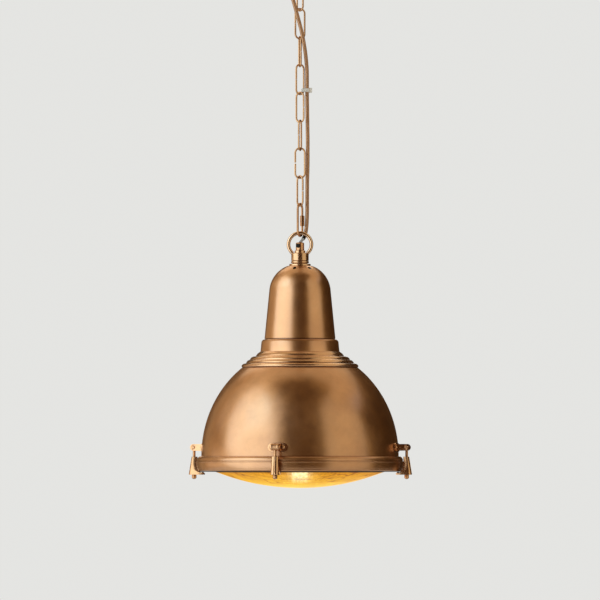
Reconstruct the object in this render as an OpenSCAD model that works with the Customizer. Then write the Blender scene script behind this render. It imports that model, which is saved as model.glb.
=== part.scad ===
// Dome pendant lamp on a split-link chain, with a glass lens held by swing clamps.
// Millimetres, +Z up. The origin is the middle of the ceiling strap's top face.

/* [Ceiling rose] */
// Length of the ceiling strap
strap_len = 82; // [78:1:90]
// Width of the ceiling strap
strap_w = 22; // [18:1:28]
// Thickness of the ceiling strap
strap_t = 3; // [2:0.5:4]
// Distance between the two ceiling screw holes
screw_pitch = 64; // [60:1:68]
// Diameter of a ceiling screw hole
screw_hole_d = 4.5; // [4:0.1:5.5]
// Diameter of the stud under the strap
stud_d = 10; // [8:0.5:12]
// Outside diameter of the rose
rose_d = 104; // [100:1:130]
// Height of the rose
rose_h = 50; // [46:1:60]
// Diameter of the rose's flat bottom
rose_flat_d = 68; // [64:1:76]
// Height of the rose's straight rim
rose_rim_h = 5; // [3:0.5:8]
// Wall of the rose
rose_wall = 1.2; // [0.8:0.1:2]
// Diameter of the loop's boss under the rose
boss_d = 18; // [16:0.5:24]
// Height of the loop's boss
boss_h = 8; // [7:0.5:12]
// Outside diameter of the loop that carries the chain
loop_d = 24; // [22:0.5:28]
// Wire diameter of the loop
loop_wire = 4.5; // [4:0.1:5]
// Turn of the loop about the vertical
loop_yaw = 70; // [64:1:76]

/* [Terminal block] */
// Length of the terminal block across the strap
block_len = 32; // [28:1:36]
// Width of the terminal block
block_w = 14; // [12:0.5:15]
// Height of the terminal block
block_h = 14; // [12:0.5:18]
// Distance of the terminal block from the middle of the strap
block_offset = 16; // [15:0.5:17]
// Distance between the terminal block's poles
pole_pitch = 10; // [8:0.5:11]
// Diameter of a terminal screw
pole_screw_d = 3.4; // [2.6:0.1:4]
// Diameter of the earth screw's head
earth_head_d = 6; // [5:0.5:7]
// Distance of the earth screw from the middle of the strap
earth_offset = 16; // [13:0.5:19]

/* [Chain] */
// Number of chain links
link_count = 8; // [8:1:8]
// Outside length of a chain link
link_len = 45.9; // [42:0.1:48]
// Outside width of a chain link
link_w = 16.4; // [15.6:0.1:17.4]
// Wire diameter of a chain link
link_wire = 2.6; // [2.2:0.1:2.8]
// Gap where a link's wire is bent shut, for the most open links
link_split = 1.2; // [0.4:0.1:2]
// Clearance where one link hangs in the next
chain_gap = 0.25; // [0.15:0.05:0.3]
// Outside length of the quick link
quick_len = 50; // [48:0.5:54]
// Outside width of the quick link
quick_w = 20; // [19:0.1:22]
// Wire diameter of the quick link
quick_wire = 3.2; // [2.8:0.1:3.4]
// Turn of the quick link about the vertical
quick_yaw = 67; // [58:1:72]
// Length of the quick link's sleeve nut
sleeve_len = 15; // [13:0.5:16]
// Width of the sleeve nut across its flats
sleeve_flats = 5.6; // [5:0.1:6.5]
// Height of the quick link's opening under the nut
quick_mouth = 6; // [4:0.5:6.5]

/* [Flex and tie] */
// Diameter of the flex
flex_d = 5.4; // [5:0.1:5.6]
// Diameter of one insulated core
core_d = 1.6; // [1.2:0.1:1.7]
// Width of the cable tie's band
tie_w = 4.8; // [3.6:0.1:6]
// Thickness of the cable tie's band
tie_t = 1.2; // [0.8:0.1:1.5]
// Height of the cable tie's head
tie_head = 7; // [6:0.1:8]

/* [Ring and hub] */
// Outside diameter of the suspension ring
ring_d = 38.4; // [36:0.1:42]
// Wire diameter of the suspension ring
ring_wire = 5.2; // [4.6:0.1:5.6]
// Height of the ring's centre above the hub's shoulder
ring_rise = 12.4; // [11.5:0.1:13]
// Diameter of the hub
hub_d = 25.2; // [22:0.1:27]
// Height of the hub's plain barrel
hub_barrel_h = 11.6; // [10:0.1:14]
// Diameter of the hub's foot flange
hub_foot_d = 31; // [27:0.1:33]
// Thickness of the hub's foot flange
hub_foot_t = 3; // [2:0.1:4]
// Height of the hub's waist between barrel and foot
hub_waist_h = 4.2; // [3.4:0.1:6]
// Diameter of the step on top of the hub
hub_step_d = 15.6; // [13:0.1:16]
// Height of the step on top of the hub
hub_step_h = 3.6; // [3:0.1:4.2]
// Diameter of the cord grip
grip_d = 12; // [11:0.1:12.8]
// Height of the cord grip
grip_h = 11.6; // [10:0.1:12]
// Diameter of the cord grip's clamping screw
grip_screw_d = 5.6; // [4:0.1:5.8]
// Diameter of the hollow threaded rod
nipple_d = 10; // [9:0.1:10.4]
// Bore of the hollow threaded rod
nipple_bore = 6; // [5:0.1:7]
// Diameter across the flats of the nut on the threaded rod
nipple_nut_flats = 14; // [13:0.5:17]
// Thickness of the nut on the threaded rod
nipple_nut_t = 4; // [3:0.5:5]

/* [Cap and collar] */
// Height of the cap
cap_h = 105.4; // [98:0.1:120]
// Radius of the cap's shoulder
cap_shoulder_r = 44.5; // [43:0.1:46]
// Radius of the cap's rim
cap_rim_r = 51.3; // [50.5:0.1:53]
// Radius of the curve over the cap's crown
cap_crown_r = 41; // [39:0.1:42]
// Wall of the cap
cap_wall = 1.2; // [0.8:0.1:1.6]
// Number of vent holes in the cap
vent_count = 7; // [3:1:10]
// Diameter of a vent hole in the cap
vent_d = 5.2; // [3:0.1:5.4]
// Distance of the vent holes from the axis
vent_r = 25; // [22:0.5:26]
// Turn of the vent holes about the axis
vent_turn = -5; // [-25:1:25]
// Height of the collar under the cap
collar_h = 18.8; // [16:0.1:24]
// Radius of the collar at its shoulder
collar_top_r = 55.8; // [55.4:0.1:57]
// Radius of the collar at its foot
collar_foot_r = 57.2; // [56.3:0.1:57.4]
// Wall of the collar
collar_wall = 1.2; // [0.8:0.1:1.6]
// Inside radius of the flanges that join cap and collar
joint_open_r = 41.5; // [40:0.1:42.4]
// Inside radius of the flanges that join collar and dome
shelf_open_r = 44; // [42:0.1:46]
// Diameter of the joining screws
screw_d = 3; // [2.5:0.1:3.4]

/* [Dome] */
// Radius of the dome at its widest
dome_r = 142.8; // [138:0.1:146]
// Full height of the curve that the dome follows
dome_curve_h = 157.8; // [140:0.1:175]
// Radius where the dome's curve starts under the steps
dome_start_r = 83.3; // [82:0.1:84]
// Height of the straight rim under the dome's curve
dome_rim_h = 12.3; // [11.6:0.1:16]
// Wall of the dome
dome_wall = 1.4; // [1:0.1:1.8]

/* [Bezel and lens] */
// Radius of the bezel at its widest
bezel_r = 150.4; // [149.8:0.1:151]
// Radius of the glass where it leaves the bezel
lens_show_r = 122.5; // [116:0.1:124]
// Depth of the lens below the bezel
lens_sag = 23.5; // [18:0.1:28]
// Thickness of the lens
lens_t = 4.5; // [3.5:0.1:5.5]
// Thickness of the lens flange
lens_flange_t = 4.8; // [4:0.1:5.6]
// Thickness of the bezel's bottom lip
bezel_lip_t = 2.2; // [1.8:0.1:3]
// Thickness of the flat gasket under the lens
lens_gasket_t = 1; // [0.5:0.1:2]
// Thickness of the gasket between lens and dome
rim_gasket_t = 2.5; // [2.2:0.1:4]
// Wire diameter of the snap ring over the lens
snap_wire = 1.6; // [1.2:0.1:1.8]
// Opening of the snap ring
snap_mouth = 10; // [6:0.5:20]

/* [Clamps] */
// Number of clamps
clamp_count = 4; // [4:1:4]
// Turn of the first clamp from the front
clamp_turn = -13; // [-20:1:20]
// Distance of the clamp pins from the axis
pin_r = 157.8; // [157.4:0.1:160]
// Height of the clamp pins above the bezel's underside
pin_rise = 35.2; // [34:0.1:38]
// Diameter of the clamp pins
pin_d = 4; // [3:0.1:4.4]
// Diameter of the clamp pins' heads
pin_head_d = 5.3; // [4.8:0.1:6.4]
// Height of a bracket ear
ear_h = 9.7; // [8:0.1:11]
// Thickness of a bracket ear
ear_t = 2.5; // [2:0.1:3]
// Space between the bracket ears
ear_space = 6.6; // [6:0.1:7.2]
// Length of the bracket's foot along the dome
foot_len = 28; // [27:0.1:32]
// Height of the bracket's foot
foot_h = 12.4; // [11:0.1:13.4]
// Thickness of the bracket's foot
foot_t = 2.4; // [2:0.1:3]
// Diameter of the bracket rivets
rivet_d = 3; // [2.4:0.1:3.4]
// Diameter of the swing bolt
bolt_d = 4; // [3.6:0.1:4.2]
// Width of the claw at its top
claw_top_w = 9.2; // [8:0.1:9.6]
// Width of the claw at its foot
claw_foot_w = 11.4; // [10.6:0.1:13]
// Height of the claw above the bezel's underside
claw_rise = 21.8; // [20:0.1:25]
// Radius that the claw's front is rounded to
claw_round = 6.2; // [6:0.1:9]
// Reach of the claw's foot towards the axis, as a radius
claw_reach_r = 143; // [141:0.1:144]
// Thickness of the claw's foot
claw_foot_t = 4; // [3.4:0.1:4.6]
// Width of the clamp nut across its flats
clamp_nut_flats = 6; // [5.6:0.1:7]
// Height of the clamp nut
clamp_nut_h = 6.4; // [5:0.1:7]

/* [Lampholder and bulb] */
// Outside diameter of the ceramic lampholder
holder_d = 42; // [40:0.5:48]
// Height of the ceramic lampholder
holder_h = 52; // [50:0.5:56]
// Inside diameter of the lampholder's screw shell
shell_d = 27; // [26.8:0.1:27.4]
// Height of the lampholder's screw shell
shell_h = 24; // [22:0.5:26]
// Radius of the lampholder's centre contact
contact_r = 4; // [3:0.1:4.4]
// Diameter of the bulb's screw cap
bulb_cap_d = 26.2; // [26:0.1:26.4]
// Height of the bulb's screw cap
bulb_cap_h = 25; // [22:0.5:27]
// Diameter of the bulb
bulb_d = 60; // [50:1:64]
// Length of the bulb's glass
bulb_len = 80; // [74:1:90]
// Wall of the bulb's glass
bulb_wall = 0.8; // [0.5:0.1:1.2]

/* [Hidden] */
$fn = 64;

// Clearances that the fits share
fit = 0.05;
seat = 0.3;

// Turn of each chain link about the vertical, and the side of its split
link_yaw = [-52, 14, -79, 38, -40, 75, 0, -55];
split_side = [1, -1, 1, -1, 1, -1, -1, 1];
split_share = [0.4, 0.25, 0.25, 0.25, 0.5, 0.5, 1.25, 0.6];

// Heights down the lamp, from the ceiling at 0
loop_z = -(rose_h + boss_h + loop_d - loop_wire / 2);
link_pitch = link_len - 2 * link_wire - chain_gap;
first_link_z = loop_z + (loop_wire + link_wire) / 2 + chain_gap;
last_link_z = first_link_z - (link_count - 1) * link_pitch - (link_len - link_wire);
quick_top_z = last_link_z + (link_wire + quick_wire) / 2 + chain_gap;
quick_z = quick_top_z - (quick_len - quick_wire);
ring_mean_r = (ring_d - ring_wire) / 2;
ring_z = quick_z + (quick_wire + ring_wire) / 2 + chain_gap - ring_mean_r;
hub_z = ring_z - ring_rise;
grip_z = hub_z + hub_step_h;
cap_z = hub_z - hub_barrel_h - hub_waist_h - hub_foot_t;
collar_z = cap_z - cap_h;
shelf_z = collar_z - collar_h;
step_h = 22.7;
dome_drop = dome_curve_h * sqrt(1 - pow(dome_start_r / dome_r, 2));
dome_z = shelf_z - step_h - dome_drop;
rim_z = dome_z - dome_rim_h;
bezel_stack = bezel_lip_t + lens_gasket_t + lens_flange_t + rim_gasket_t;
bezel_z = rim_z - bezel_stack;
bezel_h = bezel_stack + dome_rim_h - 0.7;
holder_z = cap_z - cap_wall - nipple_nut_t - 2;
holder_mouth_z = holder_z - holder_h;
bulb_z = holder_mouth_z - 1;
contact_h = 6;

// Radii that the bezel, the lens and their seals share
bezel_bore_r = dome_r + 1.8;
lens_edge_r = bezel_bore_r - 0.4;
lens_sphere_r = (pow(lens_show_r, 2) + pow(lens_sag, 2)) / (2 * lens_sag);
lens_centre_h = lens_sphere_r - lens_sag;
lens_inner_r = lens_sphere_r - lens_t;
lens_flange_h = bezel_lip_t + lens_gasket_t;
lens_top_h = lens_flange_h + lens_flange_t;

// Radius of the lens surface of sphere radius s at height h above the bezel's underside
function lens_r(s, h) = sqrt(s * s - pow(lens_centre_h - h, 2));

// Swing bolt, nut and claw share these heights above the bezel's underside
claw_base_h = -seat - claw_foot_t;
bolt_end_h = claw_base_h - clamp_nut_h + 0.8;
bolt_eye_w = ear_space - 0.4;
claw_back_r = pin_r - bolt_d / 2 - 1.9;
claw_face_top_r = pin_r + 3.6;
claw_face_foot_r = pin_r + 7;
rivet_offset = foot_len / 2 - foot_h / 2 + 0.6;

// Joining screws lie between the flange's edge and the wall
cap_screw_r = (joint_open_r + cap_rim_r) / 2 - 0.8;
shelf_screw_r = (shelf_open_r + collar_foot_r) / 2 - 0.4;
nut_flats = 5.5;

// Route of the flex: from the rose's cord grip to the cable tie, then to the lamp's grip
cord_exit = [-20, -14];
grip_nose_z = -rose_h - 10;
flex_upper_route = [
  [-20, -14, grip_nose_z], [-19.2, -14, -70], [-17, -13.5, -81], [-14, -13, -92],
  [-10.4, -12.5, -103], [-7, -12.2, -115], [-4, -12.2, -126], [-0.8, -12, -138],
  [2, -11.5, -149], [4.4, -10, -160], [6.5, -7.6, -172], [8.2, -4.4, -184],
  [9.4, -1, -196], [10.1, 2.2, -208], [10.2, 4.4, -220], [10.2, 5.2, -231],
  [10.2, 5.2, -242]];
flex_lower_route = [
  [10.2, 5.2, -242], [10.4, 5, -254], [10.6, 4.6, -267], [10.8, 4.4, -280],
  [11, 4.4, -294], [11.2, 4.2, -308], [11.2, 4, -322], [11.2, 4, -336],
  [11, 4.4, -350], [10.6, 4.6, -363], [10.4, 5, -376], [10.4, 5.6, -389],
  [10.4, 6.8, -402], [10.3, 8, -414], [9.9, 8.8, -426], [9, 8.4, -436],
  [7.5, 6.6, -444], [4.6, 3.6, -450], [0, 0, grip_z + grip_h]];
tie_z = -234.3;
tied_at = [10.2, 5.2];
tie_bend = 1;

// Points on an arc from p to q that swells by s to the left of its way, without its first point
function swell(p, q, s, n = 6) =
  let (d = q - p, c = norm(d), r = (c * c / 4 + s * s) / (2 * s), a = 2 * asin(c / (2 * r)),
       u = [d[1], -d[0]] / c, m = (p + q) / 2 + u * (r - s))
  [for (i = [1:n]) let (t = a * i / n) m + rot2(p - m, -t)];
function rot2(v, a) = [v[0] * cos(a) - v[1] * sin(a), v[0] * sin(a) + v[1] * cos(a)];

// Points on the quarter ellipse of half width a and height b, from angle t0 to t1
function ellipse_arc(c, a, b, t0, t1, n) =
  [for (i = [0:n]) let (t = t0 + (t1 - t0) * i / n) c + [a * cos(t), b * sin(t)]];
function flip(list) = [for (i = [len(list) - 1:-1:0]) list[i]];
function shifted(list, v) = [for (p = list) p + v];

// Outline of the dome's steps, from the shelf's edge, as radius and height from the shelf
step_points = concat(
  [[57.8, 0], [58.4, -0.8]],
  swell([58.4, -0.8], [64.4, -6], 0.7),
  [[64.9, -7], [66.2, -7.2]],
  swell([66.2, -7.2], [68, -8.8], 0.5, 4),
  [[67.8, -9.3], [68.9, -9.4]],
  swell([68.9, -9.4], [77.6, -15.9], 1.9),
  [[76.9, -16.8], [79.8, -17.2]],
  swell([79.8, -17.2], [84.7, -21], 0.9),
  [[84.2, -22.3]]);

module ring_solid(r_out, r_in, h) {
  difference() {
    cylinder(r = r_out, h = h);
    translate([0, 0, -1]) cylinder(r = r_in, h = h + 2);
  }
}

module hexagon(flats, h) {
  cylinder(d = flats / cos(30), h = h, $fn = 6);
}

// Straight wire of diameter d from p to q
module rod(p, q, d) {
  v = q - p;
  translate(p) rotate([0, acos(v[2] / norm(v)), atan2(v[1], v[0])]) cylinder(d = d, h = norm(v));
}

// Half of a round wire ring that stands in the XZ plane, above its centre
module half_ring(mean_r, wire) {
  rotate([90, 0, 0]) rotate_extrude(angle = 180) translate([mean_r, 0]) circle(d = wire);
}

module full_ring(mean_r, wire) {
  rotate([90, 0, 0]) rotate_extrude() translate([mean_r, 0]) circle(d = wire);
}

// Long link in the XZ plane with its top wire at height 0, open between two depths on one leg
module long_link(length, width, wire, side, open_from, open_to) {
  mean_r = (width - wire) / 2;
  leg = length - width;
  translate([0, 0, -mean_r]) half_ring(mean_r, wire);
  translate([0, 0, -mean_r - leg]) mirror([0, 0, 1]) half_ring(mean_r, wire);
  translate([-side * mean_r, 0, -mean_r - leg]) cylinder(d = wire, h = leg);
  translate([side * mean_r, 0, -open_from]) cylinder(d = wire, h = open_from - mean_r);
  translate([side * mean_r, 0, -mean_r - leg]) cylinder(d = wire, h = mean_r + leg - open_to);
}

function unit(v) = v / norm(v);

// Middle of core k of the three that lie together in a flex
function core_at(k) = 0.7 * core_d * [cos(90 + 120 * k), sin(90 + 120 * k), 0];

// Tube swept along a route, square to the directions first and last at its ends
module flex_tube(route, d, sides = 10, first = [0, 0, -1], last = [0, 0, -1]) {
  n = len(route);
  directions = [for (i = [0:n - 1])
    unit(i == 0 ? first : i == n - 1 ? last
         : unit(route[i + 1] - route[i]) + unit(route[i] - route[i - 1]))];
  points = [for (i = [0:n - 1])
    let (t = directions[i], side = cross([0, 1, 0], t), u = side / norm(side), w = cross(t, u))
    for (k = [0:sides - 1]) route[i] + d / 2 * (u * cos(360 * k / sides) + w * sin(360 * k / sides))];
  faces = concat(
    [[for (k = [sides - 1:-1:0]) k]],
    [for (i = [0:n - 2]) for (k = [0:sides - 1]) let (j = (k + 1) % sides)
      [i * sides + k, i * sides + j, (i + 1) * sides + j, (i + 1) * sides + k]],
    [[for (k = [0:sides - 1]) (n - 1) * sides + k]]);
  polyhedron(points = points, faces = faces, convexity = 6);
}

// Places its children at clamp i, where -Y points outwards and Z is measured from the bezel
module at_clamp(i) {
  translate([0, 0, bezel_z]) rotate([0, 0, clamp_turn + i * 360 / clamp_count]) children();
}

module ceiling_strap() color("silver") {
  difference() {
    translate([-strap_len / 2, -strap_w / 2, -strap_t]) cube([strap_len, strap_w, strap_t]);
    for (x = [-1, 1]) translate([x * screw_pitch / 2, 0, -strap_t - 1])
      cylinder(d = screw_hole_d, h = strap_t + 2);
    translate([-earth_offset, 0, -strap_t - 1]) cylinder(d = earth_head_d / 2 + 2 * fit, h = strap_t);
  }
  translate([0, 0, -rose_h - boss_h + 2.5]) cylinder(d = stud_d, h = rose_h + boss_h - 2.5 - strap_t);
}

module ceiling_rose() color("peru") {
  r = rose_d / 2;
  flat_r = rose_flat_d / 2;
  difference() {
    rotate_extrude() polygon(concat(
      [[0, -rose_h]],
      ellipse_arc([flat_r, -rose_rim_h], r - 1.6 - flat_r, rose_h - rose_rim_h, -90, 0, 10),
      [[r, -rose_rim_h], [r, 0], [r - rose_wall - 1.6, 0]],
      ellipse_arc([flat_r, -rose_rim_h], r - 1.6 - rose_wall - flat_r,
                  rose_h - rose_rim_h - rose_wall, 0, -90, 10),
      [[0, -rose_h + rose_wall]]));
    translate([0, 0, -rose_h - 1]) cylinder(d = stud_d + 2 * seat, h = rose_wall + 2);
    translate([cord_exit[0], cord_exit[1], -rose_h - 1])
      cylinder(d = flex_d + 3 + 2 * fit, h = rose_wall + 2);
  }
}

module rose_loop() color("peru") {
  mean_r = (loop_d - loop_wire) / 2;
  difference() {
    translate([0, 0, -rose_h - boss_h]) cylinder(d = boss_d, h = boss_h);
    translate([0, 0, -rose_h - boss_h + 2.5 - fit]) cylinder(d = stud_d + 2 * fit, h = boss_h);
  }
  difference() {
    translate([0, 0, loop_z + mean_r]) rotate([0, 0, loop_yaw]) full_ring(mean_r, loop_wire);
    translate([0, 0, -rose_h - boss_h]) cylinder(d = boss_d, h = boss_h);
  }
  translate([0, 0, -rose_h - boss_h - loop_wire / 2])
    cylinder(d1 = loop_wire, d2 = boss_d * 0.6, h = loop_wire / 2);
}

module terminal_block() color("ivory") {
  difference() {
    translate([block_offset - block_w / 2, -block_len / 2, -strap_t - block_h])
      cube([block_w, block_len, block_h]);
    for (x = [-1, 1]) for (k = [-1:1])
      translate([block_offset + x * block_w / 4, k * pole_pitch, -strap_t - block_h - 1])
        cylinder(d = pole_screw_d + 2 * fit, h = block_h / 2 + 1);
  }
}

module terminal_screws() color("silver") {
  for (x = [-1, 1]) for (k = [-1:1])
    translate([block_offset + x * block_w / 4, k * pole_pitch, -strap_t - block_h + 1]) difference() {
      cylinder(d = pole_screw_d, h = block_h / 2 - 1);
      translate([-pole_screw_d, -0.35, -1]) cube([2 * pole_screw_d, 0.7, 1.8]);
    }
}

module earth_screw() color("goldenrod") {
  translate([-earth_offset, 0, -strap_t - 2.2]) difference() {
    cylinder(d = earth_head_d, h = 2.2);
    translate([-earth_head_d, -0.5, -1]) cube([2 * earth_head_d, 1, 2]);
  }
  translate([-earth_offset, 0, -strap_t]) cylinder(d = earth_head_d / 2, h = strap_t - 1.2);
}

module rose_cord_grip() color("peru") {
  translate([cord_exit[0], cord_exit[1], 0]) rotate_extrude() polygon([
    [core_d * 1.3, grip_nose_z], [flex_d / 2 + 1, grip_nose_z], [flex_d / 2 + 2, grip_nose_z + 2],
    [flex_d / 2 + 2, -rose_h - 2], [flex_d / 2 + 4, -rose_h - 2], [flex_d / 2 + 4, -rose_h],
    [flex_d / 2 + 1.5, -rose_h], [flex_d / 2 + 1.5, -rose_h + rose_wall],
    [flex_d / 2 + 4, -rose_h + rose_wall], [flex_d / 2 + 4, -rose_h + rose_wall + 3],
    [core_d * 1.3, -rose_h + rose_wall + 3]]);
}

module rose_wires() color("saddlebrown") {
  beside_x = stud_d / 2 + core_d;
  for (k = [-1:1]) {
    c = core_at(k) + [cord_exit[0], cord_exit[1], 0];
    end = [block_offset - block_w / 2, -k * pole_pitch, -strap_t - block_h / 2];
    rise = -rose_h + rose_wall + 8 + 3 * k;
    flex_tube([c + [0, 0, grip_nose_z], c + [0, 0, rise], c + [1.5, 0, rise + 1.6],
               [beside_x - 1, cord_exit[1] + 1, -rose_h / 2 + 3 * k],
               [beside_x, cord_exit[1] + 2, -rose_h / 2 + 1.5 + 3 * k],
               [beside_x, end[1] - 0.5, end[2] - 0.5], [beside_x + 1, end[1], end[2]], end],
              core_d, 8, [0, 0, 1], [1, 0, 0]);
  }
}

module chain_link(i) color("peru") {
  gap = link_split * split_share[i];
  translate([0, 0, first_link_z - i * link_pitch]) rotate([0, 0, link_yaw[i]])
    long_link(link_len, link_w, link_wire, split_side[i],
              (link_len - link_wire - gap) / 2, (link_len - link_wire + gap) / 2);
}

// The sleeve nut is measured down from the quick link's top wire
sleeve_from = (quick_w - quick_wire) / 2 + 8.6;
mouth_from = sleeve_from + sleeve_len - quick_mouth - 1;

module quick_link() color("peru") {
  translate([0, 0, quick_top_z]) rotate([0, 0, quick_yaw])
    long_link(quick_len, quick_w, quick_wire, 1, mouth_from, mouth_from + quick_mouth);
}

module quick_link_nut() color("darkkhaki") {
  translate([0, 0, quick_top_z]) rotate([0, 0, quick_yaw])
    translate([(quick_w - quick_wire) / 2, 0, -sleeve_from - sleeve_len]) difference() {
      hexagon(sleeve_flats, sleeve_len);
      translate([0, 0, -1]) cylinder(d = quick_wire + 2 * fit, h = sleeve_len + 2);
    }
}

// The tie goes round the flex and the right wire of link 4, where the wire starts to bend inwards
module cable_tie() color("wheat") {
  link_r = (link_w - link_wire) / 2;
  wire_way = [cos(link_yaw[3]), sin(link_yaw[3])];
  lead = (tied_at - link_r * wire_way) / norm(tied_at - link_r * wire_way);
  translate([0, 0, tie_z - tie_w / 2]) linear_extrude(tie_w) difference() {
    tie_outline(link_r, wire_way, tie_t);
    tie_outline(link_r, wire_way, 0);
  }
  head_at = tied_at + lead * (flex_d / 2 + tie_t + fit);
  translate([head_at[0], head_at[1], tie_z]) rotate([0, 0, atan2(lead[1], lead[0])]) {
    translate([-0.4, -tie_head / 3, -tie_head / 2]) cube([tie_head / 2, tie_head / 1.5, tie_head]);
    translate([tie_head / 5, 0, -tie_w / 2]) cube([tie_t, tie_head * 0.7, tie_w]);
  }
}

module tie_outline(link_r, wire_way, grow) {
  hull() {
    translate((link_r - tie_bend) * wire_way) circle(d = link_wire + 2 * (fit + grow), $fn = 24);
    translate(link_r * wire_way) circle(d = link_wire + 2 * (fit + grow), $fn = 24);
    translate(tied_at) circle(d = flex_d + 2 * (fit + grow), $fn = 24);
  }
}

module flex_upper() color("rosybrown") {
  flex_tube(flex_upper_route, flex_d);
}

module flex_lower() color("rosybrown") {
  flex_tube(flex_lower_route, flex_d);
}

module suspension_ring() color("peru") {
  difference() {
    translate([0, 0, ring_z]) full_ring(ring_mean_r, ring_wire);
    translate([0, 0, hub_z - hub_barrel_h]) cylinder(d = hub_d, h = hub_barrel_h);
    translate([0, 0, hub_z - 1]) cylinder(d = hub_step_d + 2 * fit, h = hub_step_h + 1);
  }
}

module hub() color("peru") {
  r = hub_d / 2;
  waist_z = hub_z - hub_barrel_h;
  bead = (hub_waist_h - 0.7) / 2;
  rotate_extrude() polygon(concat(
    [[nipple_d / 2 + fit, grip_z], [hub_step_d / 2 - 0.5, grip_z], [hub_step_d / 2, grip_z - 0.5],
     [hub_step_d / 2, hub_z], [r - 1, hub_z], [r, hub_z - 1], [r, waist_z + 0.6], [r - 0.8, waist_z],
     [r - 1.4, waist_z]],
    ellipse_arc([r - 1.4, waist_z - bead], 1.9, bead, 90, -90, 8),
    [[r - 1.8, waist_z - 2 * bead], [r - 1.8, waist_z - hub_waist_h],
     [hub_foot_d / 2 - 0.8, waist_z - hub_waist_h], [hub_foot_d / 2, waist_z - hub_waist_h - 0.8],
     [hub_foot_d / 2, cap_z], [nipple_d / 2 + fit, cap_z]]));
}

module cord_grip() color("peru") {
  r = grip_d / 2;
  difference() {
    translate([0, 0, grip_z]) rotate_extrude() polygon([
      [core_d * 1.3, grip_h], [r - 1.2, grip_h], [r, grip_h - 1.2], [r, 0],
      [nipple_d / 2 + fit, 0], [nipple_d / 2 + fit, 3.2], [core_d * 1.3, 3.2]]);
    translate([0, 0, grip_z + grip_h * 0.6]) rotate([90, 0, -28]) translate([0, 0, core_d * 1.3 + 0.6])
      cylinder(d = grip_screw_d + 2 * fit, h = r);
  }
}

module grip_screw() color("dimgray") {
  depth = grip_d / 2 - core_d * 1.3 - 1.6;
  translate([0, 0, grip_z + grip_h * 0.6]) rotate([90, 0, -28]) translate([0, 0, core_d * 1.3 + 0.6])
    difference() {
      cylinder(d = grip_screw_d, h = depth);
      translate([-grip_screw_d, -0.4, depth - 0.9]) cube([2 * grip_screw_d, 0.8, 2]);
    }
}

module threaded_rod() color("goldenrod") {
  rod_end = holder_z - 9;
  translate([0, 0, rod_end]) ring_solid(nipple_d / 2, nipple_bore / 2, grip_z + 3 - rod_end);
}

module rod_nuts() color("silver") {
  for (z = [cap_z - cap_wall, holder_z - 3]) translate([0, 0, z - nipple_nut_t]) difference() {
    hexagon(nipple_nut_flats, nipple_nut_t);
    translate([0, 0, -1]) cylinder(d = nipple_d + 2 * fit, h = nipple_nut_t + 2);
  }
}

// Outline of the cap's crown, shrunk by w, from its flat seat under the hub to the shoulder
function crown_outline(w) =
  let (centre = [cap_shoulder_r - cap_crown_r, cap_z - cap_crown_r + 2.7],
       flat = asin((cap_crown_r - 2.7 - w) / (cap_crown_r - w)))
  ellipse_arc(centre, cap_crown_r - w, cap_crown_r - w, flat, 5.7, 18);

module cap() color("peru") {
  difference() {
    rotate_extrude() polygon(concat(
      [[nipple_d / 2 + fit, cap_z]], crown_outline(0),
      [[cap_rim_r, collar_z], [joint_open_r, collar_z], [joint_open_r, collar_z + cap_wall],
       [cap_rim_r - 1.1 * cap_wall, collar_z + cap_wall]],
      flip(crown_outline(cap_wall)), [[nipple_d / 2 + fit, cap_z - cap_wall]]));
    for (i = [1:vent_count]) rotate([0, 0, vent_turn + i * 360 / vent_count])
      translate([vent_r, 0, cap_z - 12]) cylinder(d = vent_d, h = 14);
    joint_holes(cap_screw_r, collar_z - 1);
  }
}

module joint_holes(r, z) {
  for (i = [0:3]) rotate([0, 0, 45 + i * 90]) translate([r, 0, z]) cylinder(d = screw_d + 2 * fit, h = 6);
}

module gallery_collar() color("peru") {
  difference() {
    rotate_extrude() polygon(concat(
      [[joint_open_r, collar_z], [cap_rim_r - 1, collar_z], [cap_rim_r - 0.6, collar_z - 1]],
      swell([cap_rim_r - 0.6, collar_z - 1], [collar_top_r, collar_z - 4.8], 1.1),
      [[collar_foot_r, shelf_z], [shelf_open_r, shelf_z], [shelf_open_r, shelf_z + collar_wall],
       [collar_foot_r - collar_wall, shelf_z + collar_wall], [collar_top_r - collar_wall, collar_z - 4.8],
       [cap_rim_r - 2.4, collar_z - collar_wall], [joint_open_r, collar_z - collar_wall]]));
    joint_holes(cap_screw_r, collar_z - 4);
    joint_holes(shelf_screw_r, shelf_z - 1);
  }
}

// Pan-head screw that points up, with its head's seat at height 0 and its nut above the grip
module joint_screw(grip) {
  translate([0, 0, -2]) cylinder(d = 2 * screw_d - 0.4, h = 2);
  cylinder(d = screw_d, h = grip + 3.4);
  translate([0, 0, grip]) difference() {
    hexagon(nut_flats, 2.4);
    translate([0, 0, -1]) cylinder(d = screw_d + 2 * fit, h = 5);
  }
}

module joint_screws() color("silver") {
  for (i = [0:3]) rotate([0, 0, 45 + i * 90]) {
    translate([cap_screw_r, 0, collar_z - collar_wall]) joint_screw(collar_wall + cap_wall);
    translate([shelf_screw_r, 0, shelf_z - dome_wall]) joint_screw(dome_wall + collar_wall);
  }
}

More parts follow.
